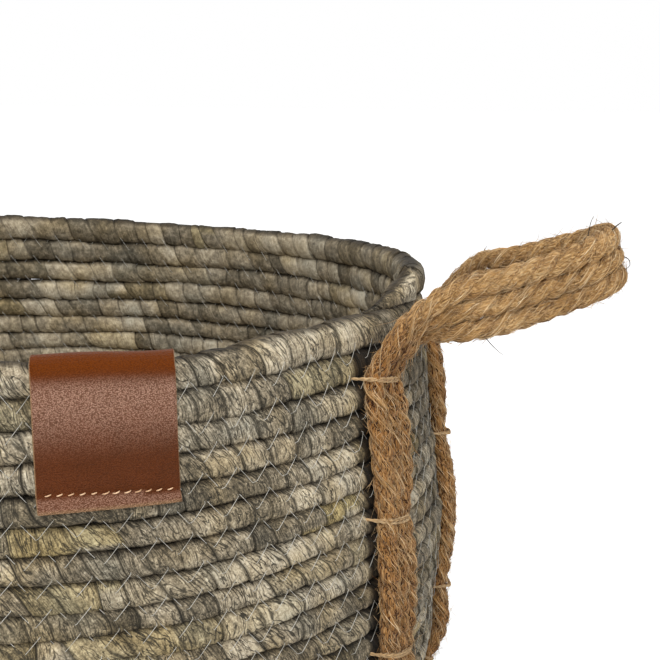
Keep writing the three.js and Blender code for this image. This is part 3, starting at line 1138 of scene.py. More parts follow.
    def by_ropes(self, length: np.ndarray, angle: np.ndarray) -> np.ndarray:
        """How much painted shadow the handles' stretches cast on the leaf under and beside them.

        Args:
            length: length along the section.
            angle: angle about the basket's axis.

        Returns:
            Numbers that are 1 under a stretch and close by it, and 0 away from it.
        """
        reach, fade, start = self.rope_zone
        folded = (angle + math.pi / 2) % math.pi - math.pi / 2
        lean = RopeHandle.lean * (0.5 - length / RopeHandle.stretch_end)
        front = np.abs(folded + RopeHandle.spread + lean)
        back = np.abs(folded - RopeHandle.spread)
        away = np.minimum(front, back) * self.route.wall_radius(self.zone_depth) - reach
        end = RopeHandle.stretch_end + self.zone_ends_past
        over = smooth_step((length - start) / self.zone_fade)
        over = over * smooth_step((end - length) / self.zone_fade)
        return (1 - smooth_step(away / fade)) * over

    def build(self) -> list[bpy.types.Object]:
        """Build the coil in lengths, from the rim to the middle of the base.

        Returns:
            The five pieces.
        """
        material = self.finish.material()
        corner = self.route.walk_at_length(np.array(self.route.corner_end))
        wall_wraps = int(self.wrapping.wrap_at_walk(corner))
        all_wraps = int(self.wrapping.wrap_at_walk(self.route.tables["walked"][-1])) - 1
        cuts = [quarter * wall_wraps // 4 for quarter in range(5)] + [all_wraps]
        names = ("rim_rows", "shoulder_rows", "belly_rows", "foot_rows", "base_rows")
        pieces = []
        for name, first, last in zip(names, cuts, cuts[1:]):
            points, faces, values = self.skin(np.arange(first, last))
            piece = make_piece(name, points, faces, material, values)
            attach(piece, "basket")
            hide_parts("base_coil" if name == "base_rows" else "wall_coil")
            LOG.info("%s: %d wraps, %d faces", name, last - first, len(faces))
            pieces.append(piece)
        return pieces


@dataclass
class ZigzagSewing:
    """Clear thread in zigzag stitches over each joint between two turns, outside and inside.

    Each leg of the zigzag has a point at each of its shares, which stands that rise off the
    coil's route. Its first point is sunk into the joint, and thread under a handle's ropes is
    pressed flat.
    """

    route: CoilRoute
    finish: SewingThread = SewingThread(
        "clear nylon thread", 0.3, colour="c9c6bd", shaded="a19e94"
    )
    stitch: float = 12.5
    reach: float = 3.8
    radius: float = 0.1
    sunk: float = 1.7
    inner_sunk: float = 1.15
    pressed: float = 1.0
    beside_ropes: float = math.radians(5.5)
    base_left_open: float = 14.0
    sides: int = 4
    shares: tuple[float, ...] = (0.0, 0.12, 0.35, 0.65, 0.88)
    rises: tuple[float, ...] = (4.4, 6.0, 6.1, 6.1, 6.0)

    def line(self, first: float, last: float, face: int) -> np.ndarray:
        """The thread's line over the joints between two lengths of the section.

        Args:
            first: length along the section where the sewing starts.
            last: where it ends.
            face: 1 for the outside and -1 for the inside.

        Returns:
            The thread's points, in one run.
        """
        start, end = self.route.walk_at_length(np.array([first, last]))
        count = int((end - start) / (self.stitch / 2))
        share = (np.arange(count)[:, None] + np.array(self.shares)[None]).reshape(-1)
        walked = start + share * self.stitch / 2
        leg = np.floor(share).astype(int)
        part = share - leg
        across = self.reach * (1 - 2 * part) * np.where(leg % 2, 1, -1)
        joint = self.route.length_at_walk(walked)
        rise = np.tile(np.array(self.rises), count) - self.sunk * (leg % 2 == 0)
        rise = rise - self.inner_sunk * (face < 0)
        folded = np.abs((self.route.angle(joint) + math.pi / 2) % math.pi - math.pi / 2)
        under = smooth_step((RopeHandle.spread + self.beside_ropes - folded) / 0.03)
        rise = rise - self.pressed * under * (face > 0)
        return self.route.row_place(joint, self.route.pitch / 2 + across, face * rise)

    def build(self) -> list[bpy.types.Object]:
        """Build the sewing of the wall's two faces and the base's upper one.

        Returns:
            The three pieces.
        """
        material = self.finish.material()
        start = self.route.pitch / 6
        foot = self.route.corner_end
        pieces = []
        for name, first, last, face in (
            ("sewing_outside", start, foot, 1),
            ("sewing_inside", start, foot, -1),
            ("sewing_base", foot, self.route.total - self.base_left_open, -1),
        ):
            line = self.line(first, last, face)
            points, faces = tube_mesh(line, np.full(len(line), self.radius), self.sides)
            piece = make_piece(name, points, faces, material)
            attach(piece, "basket")
            LOG.info("%s: %d faces", name, len(faces))
            pieces.append(piece)
        return pieces


# The jute handles


def fibre_place(rows: np.ndarray, red: np.ndarray | float | None = None) -> dict[str, np.ndarray]:
    """Numbers that the jute's finish reads.

    Args:
        rows: each vertex's place across, along and through the fibres.
        red: how red the jute is there, partly painted shade, unless it is told later.

    Returns:
        The numbers by their attributes' names.
    """
    values = {f"fibre_{axis}": rows[:, i] for i, axis in enumerate("xyz")}
    if red is not None:
        values["fibre_red"] = np.broadcast_to(red, len(rows))
    return values


@dataclass(frozen=True)
class LaidCord:
    """Strands laid up into a rope or yarn, leaning like the middle of an S."""

    strands: int
    strand_radius: float
    strand_centre: float
    lay: float
    sides: int = 10
    roughness: float = 0.1
    knobs: float = 5.0

    def mesh(
        self, line: np.ndarray, size: np.ndarray, seed: int, first: int = 0
    ) -> tuple[np.ndarray, list, dict[str, np.ndarray]]:
        """Lay the strands along a line.

        Args:
            line: the cord's points, one a row.
            size: how full the cord is at each point, 1 being plain.
            seed: of its small unevenness.
            first: the number of the first vertex.

        Returns:
            Points, faces and each point's place in the cord, for its fibres.
        """
        rng = np.random.default_rng(seed)
        _, normal, binormal = carried_frames(line)
        walked = walk_along(line)
        around = np.arange(self.sides) * FULL_TURN / self.sides
        knots = np.arange(0, walked[-1] + 2 * self.knobs, self.knobs)
        points, faces, places = [], [], []
        for strand in range(self.strands):
            turn = FULL_TURN * (strand / self.strands - walked / self.lay)
            bumps = rng.normal(0, self.roughness, int(walked[-1] / self.knobs) + 3)
            uneven = np.interp(walked, knots, bumps[: len(knots)])
            radius = (self.strand_radius * size + uneven)[:, None]
            centre = self.strand_centre * size[:, None]
            u = centre * np.cos(turn)[:, None] + radius * np.cos(around)
            v = centre * np.sin(turn)[:, None] + radius * np.sin(around)
            ring = line[:, None] + normal[:, None] * u[..., None] + binormal[:, None] * v[..., None]
            faces += ring_faces(len(line), self.sides, first + strand * len(line) * self.sides)
            points.append(ring.reshape(-1, 3))
            along = np.broadcast_to(walked[:, None] + 100 * seed, u.shape)
            places.append(np.stack([u, along, v], axis=-1).reshape(-1, 3))
        return np.vstack(points), faces, fibre_place(np.vstack(places))


class HandleSide(Enum):
    """The end of the basket that a handle is on, by the turn that puts it there."""

    RIGHT = 0.0
    LEFT = math.pi

    def turned(self, points: np.ndarray) -> np.ndarray:
        """Points of the handle's own frame, in the basket's."""
        cos, sin = math.cos(self.value), math.sin(self.value)
        return points @ np.array([[cos, sin, 0], [-sin, cos, 0], [0, 0, 1]])


@dataclass
class RopeHandle:
    """A band of three jute ropes, down the wall on either side and out in a loop between them.

    A row of loop is x, y and the height over the rim of the band's middle line, its twist in
    degrees, the space between its ropes, how full they are and how red, a redness that also
    holds painted shade. A bristle is its radius and the points it runs through. The bend gives
    the hinge's two points: how far before and past the pin they lie, in metres, along a line
    that leans like the ropes.
    """

    route: CoilRoute
    side: HandleSide
    finish: JuteFibre
    yarn_finish: JuteFibre
    fibre_finish: JuteFibre
    bristle_finish: JuteFibre = JuteFibre(
        "dark bark bristle", 0.8, dark="241c14", body="43362a", pale="7c6c5a"
    )
    rope: LaidCord = LaidCord(3, 2.45, 1.75, 24.0, 12, 0.24)
    yarn: LaidCord = LaidCord(2, 0.38, 0.3, 6.0, 8, 0.07, 3.0)
    spread: float = math.radians(14.8)
    lean: float = math.radians(1.9)
    stretch_end: float = 177.2
    front_lashings: tuple[float, ...] = (27.0, 81.0, 135.0)
    back_lashings: tuple[float, ...] = (27.0, 72.0, 142.0)
    last_lashing: float = 173.0
    lashing_tilt: float = 1.0
    lashing_turns: int = 3
    lashing_apart: float = 0.6
    lashing_sag: tuple[float, float] = (0.2, 1.1)
    lashing_high: float = 0.45
    by_lashing: tuple[float, ...] = (-26.0, -13.0, 0.0, 13.0, 26.0)
    tight_front: float = 9.0
    tight_back: float = 16.0
    off_centre: float = 9.2
    front_slack: float = 0.6
    back_slack: tuple[float, float] = (-0.7, 2.3)
    pull: float = 0.9
    plain_spacing: float = 7.8
    bound_spacing: float = 6.1
    bound_size: float = 0.93
    wall_face: float = 5.3
    loop_centre: float = 192.0
    pin: tuple[float, float] = (0.178784, 0.181733)
    bend_lean: tuple[float, float] = (0.5, 0.866)
    bend_reach: tuple[float, float] = (0.008, 0.014)
    hairs: int = 9000
    hair_length: tuple[float, float] = (2.0, 9.0)
    hair_root: float = 0.86
    hair_bend: float = 0.8
    hair_lean: tuple[float, float] = (0.05, 0.8)
    hair_radii: tuple[float, ...] = (0.11, 0.09, 0.02)
    hair_reds: tuple[float, float] = (0.0, 0.6)
    long_hairs: float = 0.08
    long_hair: float = 1.9
    fibres: int = 3300
    fibre_drift: tuple[float, float] = (0.3, 1.0)
    fibre_proud: float = 0.08
    fibre_ends: tuple[float, float] = (-0.2, 0.7)
    fibre_radius: tuple[float, float] = (0.1, 0.2)
    bristles: tuple[tuple[float, tuple[tuple[float, ...], ...]], ...] = (
        (
            0.26,
            (
                (210.8, -38.0, 184.4),
                (214.3, -37.9, 180.2),
                (216.8, -36.8, 177.4),
                (219.0, -35.9, 175.4),
            ),
        ),
        (0.26, ((196.3, 43.0, 196.4), (198.1, 42.9, 201.6), (200.4, 41.8, 205.7))),
        (0.26, ((248.0, -22.0, 219.8), (249.0, -23.2, 225.2), (250.0, -23.1, 227.4))),
        (0.5, ((253.6, -8.0, 217.6), (257.0, -5.0, 221.5), (259.0, -3.5, 223.0))),
        (0.26, ((259, 0, 209.5), (262, 1, 208.2), (262.6, 1, 205.6), (260, 1, 203.6))),
    )
    loop: tuple[tuple[float, ...], ...] = (
        (181.5, 48.5, -14.5, 8, 5.6, 0.95, 0.55),
        (187.0, 46.6, -7.0, 22, 5.9, 0.97, 0.3),
        (193.5, 44.0, -3.3, 50, 6.9, 1.0, 0.08),
        (200.0, 41.2, -1.4, 74, 7.7, 1.04, 0.0),
        (208.0, 37.8, 0.3, 88, 8.0, 1.07, 0.0),
        (217.5, 33.6, 2.4, 90, 8.1, 1.1, 0.0),
        (238.0, 24.6, 9.0, 91, 8.1, 1.15, 0.0),
        (249.2, 18.4, 13.2, 95, 7.9, 1.19, 0.0),
        (253.7, 10.5, 15.3, 100, 7.7, 1.21, 0.0),
        (255.2, 0.0, 16.0, 103, 7.6, 1.21, 0.0),
    )

    @property
    def name(self) -> str:
        """The word that the handle's pieces and body start with."""
        return self.side.name.lower()

    def random(self, seed: int) -> np.random.Generator:
        """Draws of the right handle's seed, or of the next one for the left handle."""
        return np.random.default_rng(seed + int(self.side is HandleSide.LEFT))

    def lashing_lengths(self, front: bool) -> np.ndarray:
        """Length along the section at each lashing of the front or back stretch."""
        depths = self.front_lashings if front else self.back_lashings
        return np.array([*map(self.route.length_at_depth, depths), self.last_lashing])

    def stretch_angle(self, length: float, front: bool) -> float:
        """How far from the handle's middle a stretch lies: the front one is wider at its top.

        Args:
            length: length along the section.
            front: whether it is the front stretch.

        Returns:
            The angle about the basket's axis.
        """
        if not front:
            return self.spread
        return self.spread - self.lean / 2 + self.lean * (1 - length / self.stretch_end)

    def band(self) -> np.ndarray:
        """The band's middle line, with its twist, rope spacing, rope size and redness with painted
        shade.

        Returns:
            Rows of x, y, z, twist in degrees, spacing, size and redness with painted shade, in the
            handle's frame.
        """
        front, back = self.half_band(True), self.half_band(False)[-2::-1]
        back[:, 1] *= -1
        return through(np.vstack([front, back]), 1.6)[0]

    def half_band(self, front: bool) -> np.ndarray:
        """One stretch and its half of the loop, as the front one lies.

        Args:
            front: whether it is the front stretch.

        Returns:
            Rows as in band, from the stretch's lower end to the loop's middle.
        """
        bound = self.lashing_lengths(front)
        reach = self.tight_front if front else self.tight_back
        lengths = np.append(np.add.outer(bound, self.by_lashing), self.stretch_end)
        lengths = np.unique(np.clip(lengths, bound[0], self.stretch_end))[::-1]
        rows = []
        for length in lengths:
            tight = np.exp(-(((length - bound) / reach) ** 2)).max()
            low_back = int(not front and length > bound[1])
            slack = self.front_slack if front else self.back_slack[low_back]
            out = self.off_centre - self.pull * tight + slack * (1 - tight * low_back)
            place = self.route.place(length, -self.stretch_angle(length, front), 0.0, out)
            spacing = self.plain_spacing + (self.bound_spacing - self.plain_spacing) * tight
            # The stretches get painted shade as a darker, redder tint; the lowest lashing's patch
            # is really redder.
            red = 0.58 + 0.2 * math.exp(-(((length - bound[0]) / 12) ** 2))
            rows.append([*place, 0.0, spacing, 1 + (self.bound_size - 1) * tight, red])
        for x, y, z, *rest in self.loop:
            rows.append([x, -y, self.route.rim_height + z, *rest])
        return np.array(rows)

    def rope_lines(self) -> tuple[list[np.ndarray], np.ndarray]:
        """The three ropes' lines, from the loop's lower rope to its upper one, and the band.

        Returns:
            The lines in the basket's frame, and the band's rows.
        """
        band = self.band()
        along = unit(np.gradient(band[:, :3], axis=0))
        away = band[:, :3] * np.array([1, 1, 0]) - np.array([self.loop_centre, 0, 0])
        away = unit(away - along * np.sum(away * along, axis=1, keepdims=True))
        up = np.cross(away, along)
        twist = np.radians(band[:, 3:4])
        across = away * np.cos(twist) + up * np.sin(twist)
        lines = [band[:, :3] + across * band[:, 4:5] * offset for offset in (-1, 0, 1)]
        return [self.side.turned(line) for line in lines], band

    def hinge(self) -> tuple[Vector, Vector]:
        """The two ends of the ropes' hinge, before and past the pin.

        Returns:
            The two points, in metres.
        """
        outward = math.cos(self.side.value)
        along = Vector((self.bend_lean[0] * outward, 0, self.bend_lean[1]))
        pin = Vector((self.pin[0] * outward, 0, self.pin[1]))
        before, past = self.bend_reach
        return pin - along * before, pin + along * past

    def bend(self, piece: bpy.types.Object) -> None:
        """Bake the piece's transform into its mesh; the hinge is worked out but nothing bends."""
        start, end = self.hinge()
        f"{self.name}_handle"
        tuple(start)
        tuple(end)
        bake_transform(piece)

    def build_ropes(self) -> list[bpy.types.Object]:
        """Build the three ropes, each over its front stretch, loop and back stretch.

        Returns:
            The three pieces.
        """
        material = self.finish.material()
        lines, band = self.rope_lines()
        pieces = []
        for number, line in enumerate(lines, 1):
            seed = number + (10 if self.side is HandleSide.LEFT else 0)
            points, faces, values = self.rope.mesh(line, band[:, 5], seed)
            # The band's redness, with the stretches' painted shade.
            red = np.repeat(band[:, 6], self.rope.sides)
            values["fibre_red"] = np.tile(red, self.rope.strands)
            piece = make_piece(f"{self.name}_rope_{number}", points, faces, material, values)
            self.bend(piece)
            parts = ("front", "loop", "back")
            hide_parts(*(f"{self.name}_{part}_rope_{number}" for part in parts))
            pieces.append(piece)
        return pieces

    def build_fuzz(self) -> bpy.types.Object:
        """Build the short loose hairs that stand off the ropes.

        Returns:
            The piece that holds them all.
        """
        rng = self.random(71)
        lines, band = self.rope_lines()
        frames = [carried_frames(line) for line in lines]
        reach = self.rope.strand_radius + self.rope.strand_centre
        step = np.linspace(0, 1, len(self.hair_radii))[:, None]
        hairs, reds = Bundle(), []
        for _ in range(self.hairs):
            rope = int(rng.integers(3))
            tangent, normal, binormal = frames[rope]
            i = int(rng.integers(2, len(tangent) - 2))
            turn = rng.uniform(0, FULL_TURN)
            off = normal[i] * math.cos(turn) + binormal[i] * math.sin(turn)
            root = lines[rope][i] + off * reach * band[i, 5] * self.hair_root
            along = tangent[i] * rng.choice([-1, 1])
            bent = np.cross(off, along) * float(np.clip(rng.normal(0, self.hair_bend), -1, 1))
            long = rng.uniform(*self.hair_length) * rng.uniform(0.4, 1)
            long *= self.long_hair if rng.random() < self.long_hairs else 1
            lean = rng.uniform(*self.hair_lean) ** 2
            lying = step * (along + bent * step) * (1 - lean * 0.4)
            hairs.add_tube(root + long * (lying + off * lean * step), np.array(self.hair_radii), 3)
            reds.append(rng.choice(self.hair_reds, p=(0.7, 0.3)))
        points = hairs.points()
        values = fibre_place(points / 3, np.repeat(reds, len(points) // self.hairs))
        return self.loose_piece("rope_hairs", hairs, self.yarn_finish, values, True)

    def build_fibres(self) -> bpy.types.Object:
        """Build the longer fibres that lie along the strands and catch the light.

        Returns:
            The piece that holds them all.
        """
        rng = self.random(61)
        lines, band = self.rope_lines()
        frames = [carried_frames(line) for line in lines]
        walks = [walk_along(line) for line in lines]
        fibres, rows = Bundle(), []
        for _ in range(self.fibres):
            rope, strand = int(rng.integers(3)), int(rng.integers(self.rope.strands))
            count = int(rng.integers(5, 13))
            start = int(rng.integers(2, len(lines[rope]) - count - 2))
            run = np.arange(start, start + count)
            walked = walks[rope][run]
            turn = FULL_TURN * (strand / self.rope.strands - walked / self.rope.lay)
            drift = rng.uniform(*self.fibre_drift) * FULL_TURN / self.rope.lay
            around = turn + rng.normal(0, 0.5) + drift * (walked - walked.mean())
            size = band[run, 5]
            ends = np.abs(np.linspace(-1, 1, count)) ** 4
            skin = self.rope.strand_radius * size + self.fibre_proud
            skin = skin + ends * rng.uniform(*self.fibre_ends)
            u = self.rope.strand_centre * size * np.cos(turn) + skin * np.cos(around)
            v = self.rope.strand_centre * size * np.sin(turn) + skin * np.sin(around)
            _, normal, binormal = frames[rope]
            line = lines[rope][run] + normal[run] * u[:, None] + binormal[run] * v[:, None]
            fibres.add_tube(line, rng.uniform(*self.fibre_radius) * (1 - 0.8 * ends), 3)
            own = np.broadcast_to(rng.uniform(0, 90, 2), (count, 2))
            place = np.column_stack([own[:, 0], walked, own[:, 1], 0.3 * band[run, 6]])
            rows.append(np.repeat(place, 3, axis=0))
        kept = np.vstack(rows)
        values = fibre_place(kept, kept[:, 3])
        return self.loose_piece("rope_fibres", fibres, self.fibre_finish, values, True)

    def build_bristles(self) -> bpy.types.Object:
        """Build the few stiff dark bristles that stick out of the loop.

        Returns:
            The piece that holds them all.
        """
        bristles = Bundle()
        for radius, bristle in self.bristles:
            line = through(self.side.turned(np.array(bristle, float)), 1.2)[0]
            bristles.add_tube(line, radius * np.linspace(1, 0.35, len(line)), 5)
        values = fibre_place(bristles.points(), 0.0)
        return self.loose_piece("rope_bristles", bristles, self.bristle_finish, values, False)

    def loose_piece(
        self,
        part: str,
        bundle: Bundle,
        finish: JuteFibre,
        values: dict[str, np.ndarray],
        bends: bool,
    ) -> bpy.types.Object:
        """bends: whether its transform is only baked, or it is attached to the handle's body.
            bundle: its meshes.
            finish: the finish of all of them.
            values: the numbers that the finish reads.
            bends: whether it bends with the ropes, or follows the handle alone.

        Returns:
            The new piece.
        """
        name = f"{self.name}_{part}"
        piece = make_piece(name, bundle.points(), bundle.faces, finish.material(), values)
        if bends:
            self.bend(piece)
        else:
            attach(piece, f"{self.name}_handle")
        return piece

    def lashing_line(self, length: float, angle: float, sag: float, high: float) -> np.ndarray:
        """A lashing's line, out of the wall, over the band and back into the wall.

        Args:
            length: its length along the section.
            angle: the band's angle in the handle's frame.
            sag: how much lower its middle hangs than its ends.
            high: how far this pass of yarn stands off the one under it.

        Returns:
            The line's points in the handle's frame.
        """
        face = float(np.hypot(*self.route.place(length, 0.0, 0.0, self.wall_face)[:2]))
        edge = self.bound_spacing
        top = self.off_centre - self.pull - self.wall_face + self.yarn.strand_radius
        top += self.bound_size * (self.rope.strand_radius + self.rope.strand_centre)
        # How far across the band, and how far off the wall.
        rows = [
            (-edge - 8.8, -3.0),
            (-edge - 7.6, 0.6),
            (-edge - 5.6, 3.2 + high),
            (-edge - 3.2, top - 1.9 + high),
            (-edge - 0.8, top - 0.3 + high),
            (-edge / 2, top + high),
            (0.0, top + high),
            (edge / 2, top - 0.2 + high),
            (edge + 0.6, top - 1.0 + high),
            (edge + 2.3, top - 2.9 + high),
            (edge + 3.2, 2.6),
            (edge + 3.9, -0.4),
            (edge + 4.4, -3.2),
        ]
        points = []
        for across, off in rows:
            droop = sag * (1 - (across / rows[0][0]) ** 2) + self.lashing_tilt * across / edge
            out = self.wall_face + off
            points.append(self.route.place(length + droop, angle + across / face, 0.0, out))
        return through(np.array(points), 0.7)[0]

    def build_lashings(self) -> list[bpy.types.Object]:
        """Build the yarn lashings that bind the band to the wall.

        Returns:
            The eight pieces.
        """
        material = self.yarn_finish.material()
        rng = self.random(81)
        pieces = []
        for end, sign in (("front", -1), ("back", 1)):
            own = sign * math.cos(self.side.value)
            for number, length in enumerate(self.lashing_lengths(sign < 0), 1):
                angle = own * self.stretch_angle(length, sign < 0)
                yarns, places = Bundle(), []
                for turn in range(self.lashing_turns):
                    sag = (turn - 1) * self.lashing_apart + rng.uniform(*self.lashing_sag)
                    high = rng.uniform(0, self.lashing_high)
                    line = self.lashing_line(length, angle, sag, high)
                    line = self.side.turned(line)
                    taper = np.sin(np.linspace(0.25, math.pi - 0.25, len(line))) ** 0.4
                    seed = self.lashing_turns * number + turn
                    points, faces, place = self.yarn.mesh(line, taper, seed, yarns.count)
                    yarns.add(points, faces)
                    places.append(np.stack(list(place.values()), axis=1))
                name = f"{self.name}_{end}_lashing_{number}"
                values = fibre_place(np.vstack(places), 0.0)
                piece = make_piece(f"{name}_yarn", yarns.points(), yarns.faces, material, values)
                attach(piece, "basket")
                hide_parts(name)
                pieces.append(piece)
        return pieces

    def build(self) -> list[bpy.types.Object]:
        """Build the whole handle.

        Returns:
            Its pieces.
        """
        pieces = [
            *self.build_ropes(),
            self.build_fibres(),
            self.build_fuzz(),
            self.build_bristles(),
            *self.build_lashings(),
        ]
        LOG.info("%s handle: %d pieces", self.name, len(pieces))
        return pieces


# The leather label


@dataclass
class LeatherLabel:
    """A strap of leather folded over the rim, sewn near its lower edge. Its face is bare.

    The leather's soft waves are rows of a wave's size, how long it is across the label and
    down it, and its start. The stitches lie sew_inset above the lower edge, in a groove.
    """

    route: CoilRoute
    finish: TannedLeather = TannedLeather("vegetable tanned leather", 0.42)
    thread_finish: SewingThread = SewingThread(
        "waxed cotton thread", 0.6, colour="dcb893", shaded="b98f68"
    )
    angle: float = math.radians(-53.9)
    width: float = 48.0
    drop: float = 43.8
    thickness: float = 1.4
    clearance: float = 6.0
    inner_stands_off: float = 0.9
    waves: tuple[tuple[float, ...], ...] = ((0.45, 8.5, 19, 0), (0.35, 5.3, -11, 1.9))
    wave_share: float = 0.4
    groove: float = 0.6
    flare: float = 1.5
    sew_inset: float = 5.2
    sew_tilt: float = 1.7
    skew: float = 0.25
    most_skewed: float = 9.0
    stitches: int = 12
    stitch_radius: float = 0.24
    side_margin: float = 2.0
    rounding: float = 0.35
    columns: int = 30
    stations: int = 34

    def __post_init__(self) -> None:
        """Work out the section once: each station's place, outward direction and drop."""
        side = self.angle - self.width / 2 / self.route.rim_radius
        top = self.route.pitch * ((side - self.route.end_angle) % FULL_TURN) / FULL_TURN
        shares = np.linspace(1, 0, self.stations)
        section = lambda s, out: self.route.place(top + s * self.drop, 0.0, 0.0, out)[[0, 2]]
        outer = [(section(s, self.clearance), s) for s in shares]
        inside = lambda s: -self.clearance - min(4 * s, 1) * self.inner_stands_off
        inner = [(section(s, inside(s)), s) for s in shares[::-2]]
        centre = section(0.0, 0.0)
        arch = []
        for degrees in range(15, 180, 15):
            a = math.radians(degrees)
            rise = np.array([self.clearance * math.cos(a), (self.clearance - 0.3) * math.sin(a)])
            arch.append((centre + rise, 0.0))
        rows = [*outer, *arch, *inner]
        self.places = np.array([place for place, _ in rows])
        self.shares = np.array([share for _, share in rows])
        along = unit(np.gradient(self.places, axis=0))
        self.outward = np.stack([along[:, 1], -along[:, 0]], axis=1)
        self.outer_count = len(outer)
        self.walked = walk_along(self.places)

    def inset(self, across: np.ndarray) -> np.ndarray:
        """How far above the lower edge the stitches run, which were not sewn quite level."""
        return self.sew_inset - self.sew_tilt * across / self.width

    def off(self, station: np.ndarray, across: np.ndarray) -> np.ndarray:
        """How far the leather lies off its plain section, in soft waves and a sewn groove.

        Args:
            station: number of the place along the section.
            across: millimetres from the label's middle.

        Returns:
            The distance in millimetres.
        """
        walked = self.walked[station]
        wave = sum(
            size * np.sin(across / wide + walked / tall + start)
            for size, wide, tall, start in self.waves
        )
        near_fold = np.exp(-(((walked - self.walked[self.outer_count]) / 12) ** 2))
        wave = self.wave_share * wave * np.clip(walked / 12, 0, 1) * (1 - near_fold)
        outside = station < self.outer_count
        inset = self.inset(across)
        groove = -self.groove * np.exp(-((walked - inset) ** 2)) * outside
        flare = self.flare * np.clip(1 - walked / inset, 0, 1) ** 1.5 * outside
        return wave + groove + flare

    def point(self, station: np.ndarray, across: np.ndarray, above: np.ndarray) -> np.ndarray:
        """A point of the label.

        Args:
            station: number of the place along the section.
            across: millimetres from the label's middle, to the right seen from outside.
            above: height over the leather's inner face.

        Returns:
            The point, in the basket's frame.
        """
        off = self.off(station, across) + above
        place = self.places[station] + self.outward[station] * off[..., None]
        inward = self.places[self.outer_count - 1, 0] - place[..., 0]
        inward = np.where(station < self.outer_count, 0.0, np.clip(inward, 0, self.most_skewed))
        angle = self.angle + (across + self.skew * inward) / place[..., 0]
        height = place[..., 1] + self.route.rise(angle, self.shares[station] * self.drop)
        x, y = place[..., 0] * np.cos(angle), place[..., 0] * np.sin(angle)
        return np.stack([x, y, height], axis=-1)

    def build_leather(self) -> bpy.types.Object:
        """Build the folded strap with rounded, paler cut sides.

        Returns:
            The piece.
        """
        half, t = self.width / 2, self.thickness
        across = np.linspace(-half + self.rounding, half - self.rounding, self.columns)
        side = [(half, t - self.rounding, 1.0), (half, 0.3, 1.0)]
        ring = [(a, t, 0.0) for a in across] + side + [(a, 0.0, 0.0) for a in across[::-1]]
        ring = np.array(ring + [(-a, h, cut) for a, h, cut in side[::-1]])
        station = np.arange(len(self.places))
        grid_station, grid_across = np.meshgrid(station, ring[:, 0], indexing="ij")
        above = np.broadcast_to(ring[:, 1], grid_across.shape)
        points = self.point(grid_station, grid_across, above).reshape(-1, 3)
        sides = len(ring)
        faces = ring_faces(len(station), sides)[:-2]
        c = self.columns
        inner_at = lambda i: c + 2 + (c - 1 - i)
        for base, flip in ((0, False), ((len(station) - 1) * sides, True)):
            strip = [[i, inner_at(i), inner_at(i + 1), i + 1] for i in range(c - 1)]
            strip += [[c - 1, inner_at(c - 1), c + 1, c], [0, sides - 1, sides - 2, inner_at(0)]]
            faces += [[base + v for v in (face[::-1] if flip else face)] for face in strip]
        cut = np.broadcast_to(ring[:, 2], above.shape).copy()
        cut[0], cut[-1] = 0.8, 0.8
        from_fold = self.walked[self.outer_count] - self.walked[grid_station]
        # Painted sheen: a pale bloom just below the fold, and on the strip under the stitches.
        painted_sheen = 0.9 * smooth_step((from_fold + 0.3) / 6) * smooth_step((30 - from_fold) / 22)
        below_stitches = self.walked[grid_station] < self.inset(grid_across) - 0.8
        painted_sheen = np.maximum(painted_sheen, 0.55 * below_stitches)
        values = {
            "cut_edge": cut.reshape(-1),
            "painted_sheen": painted_sheen.reshape(-1),
            "stretched": smooth_step((3.4 - from_fold) / 5).reshape(-1),
        }
        piece = make_piece("leather_label", points, faces, self.finish.material(), values)
        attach(piece, "basket")
        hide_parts("label")
        return piece

    def build_stitches(self) -> bpy.types.Object:
        """Build the row of short slanting stitches near the lower edge.

        Returns:
            The piece.
        """
        rng = np.random.default_rng(91)
        gap = (self.width - 2 * self.side_margin) / self.stitches
        share = np.linspace(-1, 1, 9)
        radius = self.stitch_radius * (1 - 0.25 * np.abs(share) ** 2)
        stitches = Bundle()
        for i in range(self.stitches):
            middle = -self.width / 2 + self.side_margin + gap * (i + 0.5) + rng.normal(0, 0.12)
            level = float(np.interp(self.inset(middle), self.walked, np.arange(len(self.walked))))
            line = []
            for s in share:
                height = np.array(self.thickness + 0.35 - 1.1 * abs(s) ** 3)
                across = np.array(middle + s * gap * 0.32)
                near = self.point(np.array(int(level)), across, height)
                near[2] += s * (0.35 + rng.normal(0, 0.05)) + (level - int(level)) * 1.3
                line.append(near)
            stitches.add_tube(np.array(line), radius, 8)
        material = self.thread_finish.material()
        piece = make_piece("label_stitches", stitches.points(), stitches.faces, material)
        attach(piece, "basket")
        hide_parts("label_thread")
        return piece

    def build(self) -> list[bpy.types.Object]:
        """Build the label and its stitches."""
        return [self.build_leather(), self.build_stitches()]


# The studio


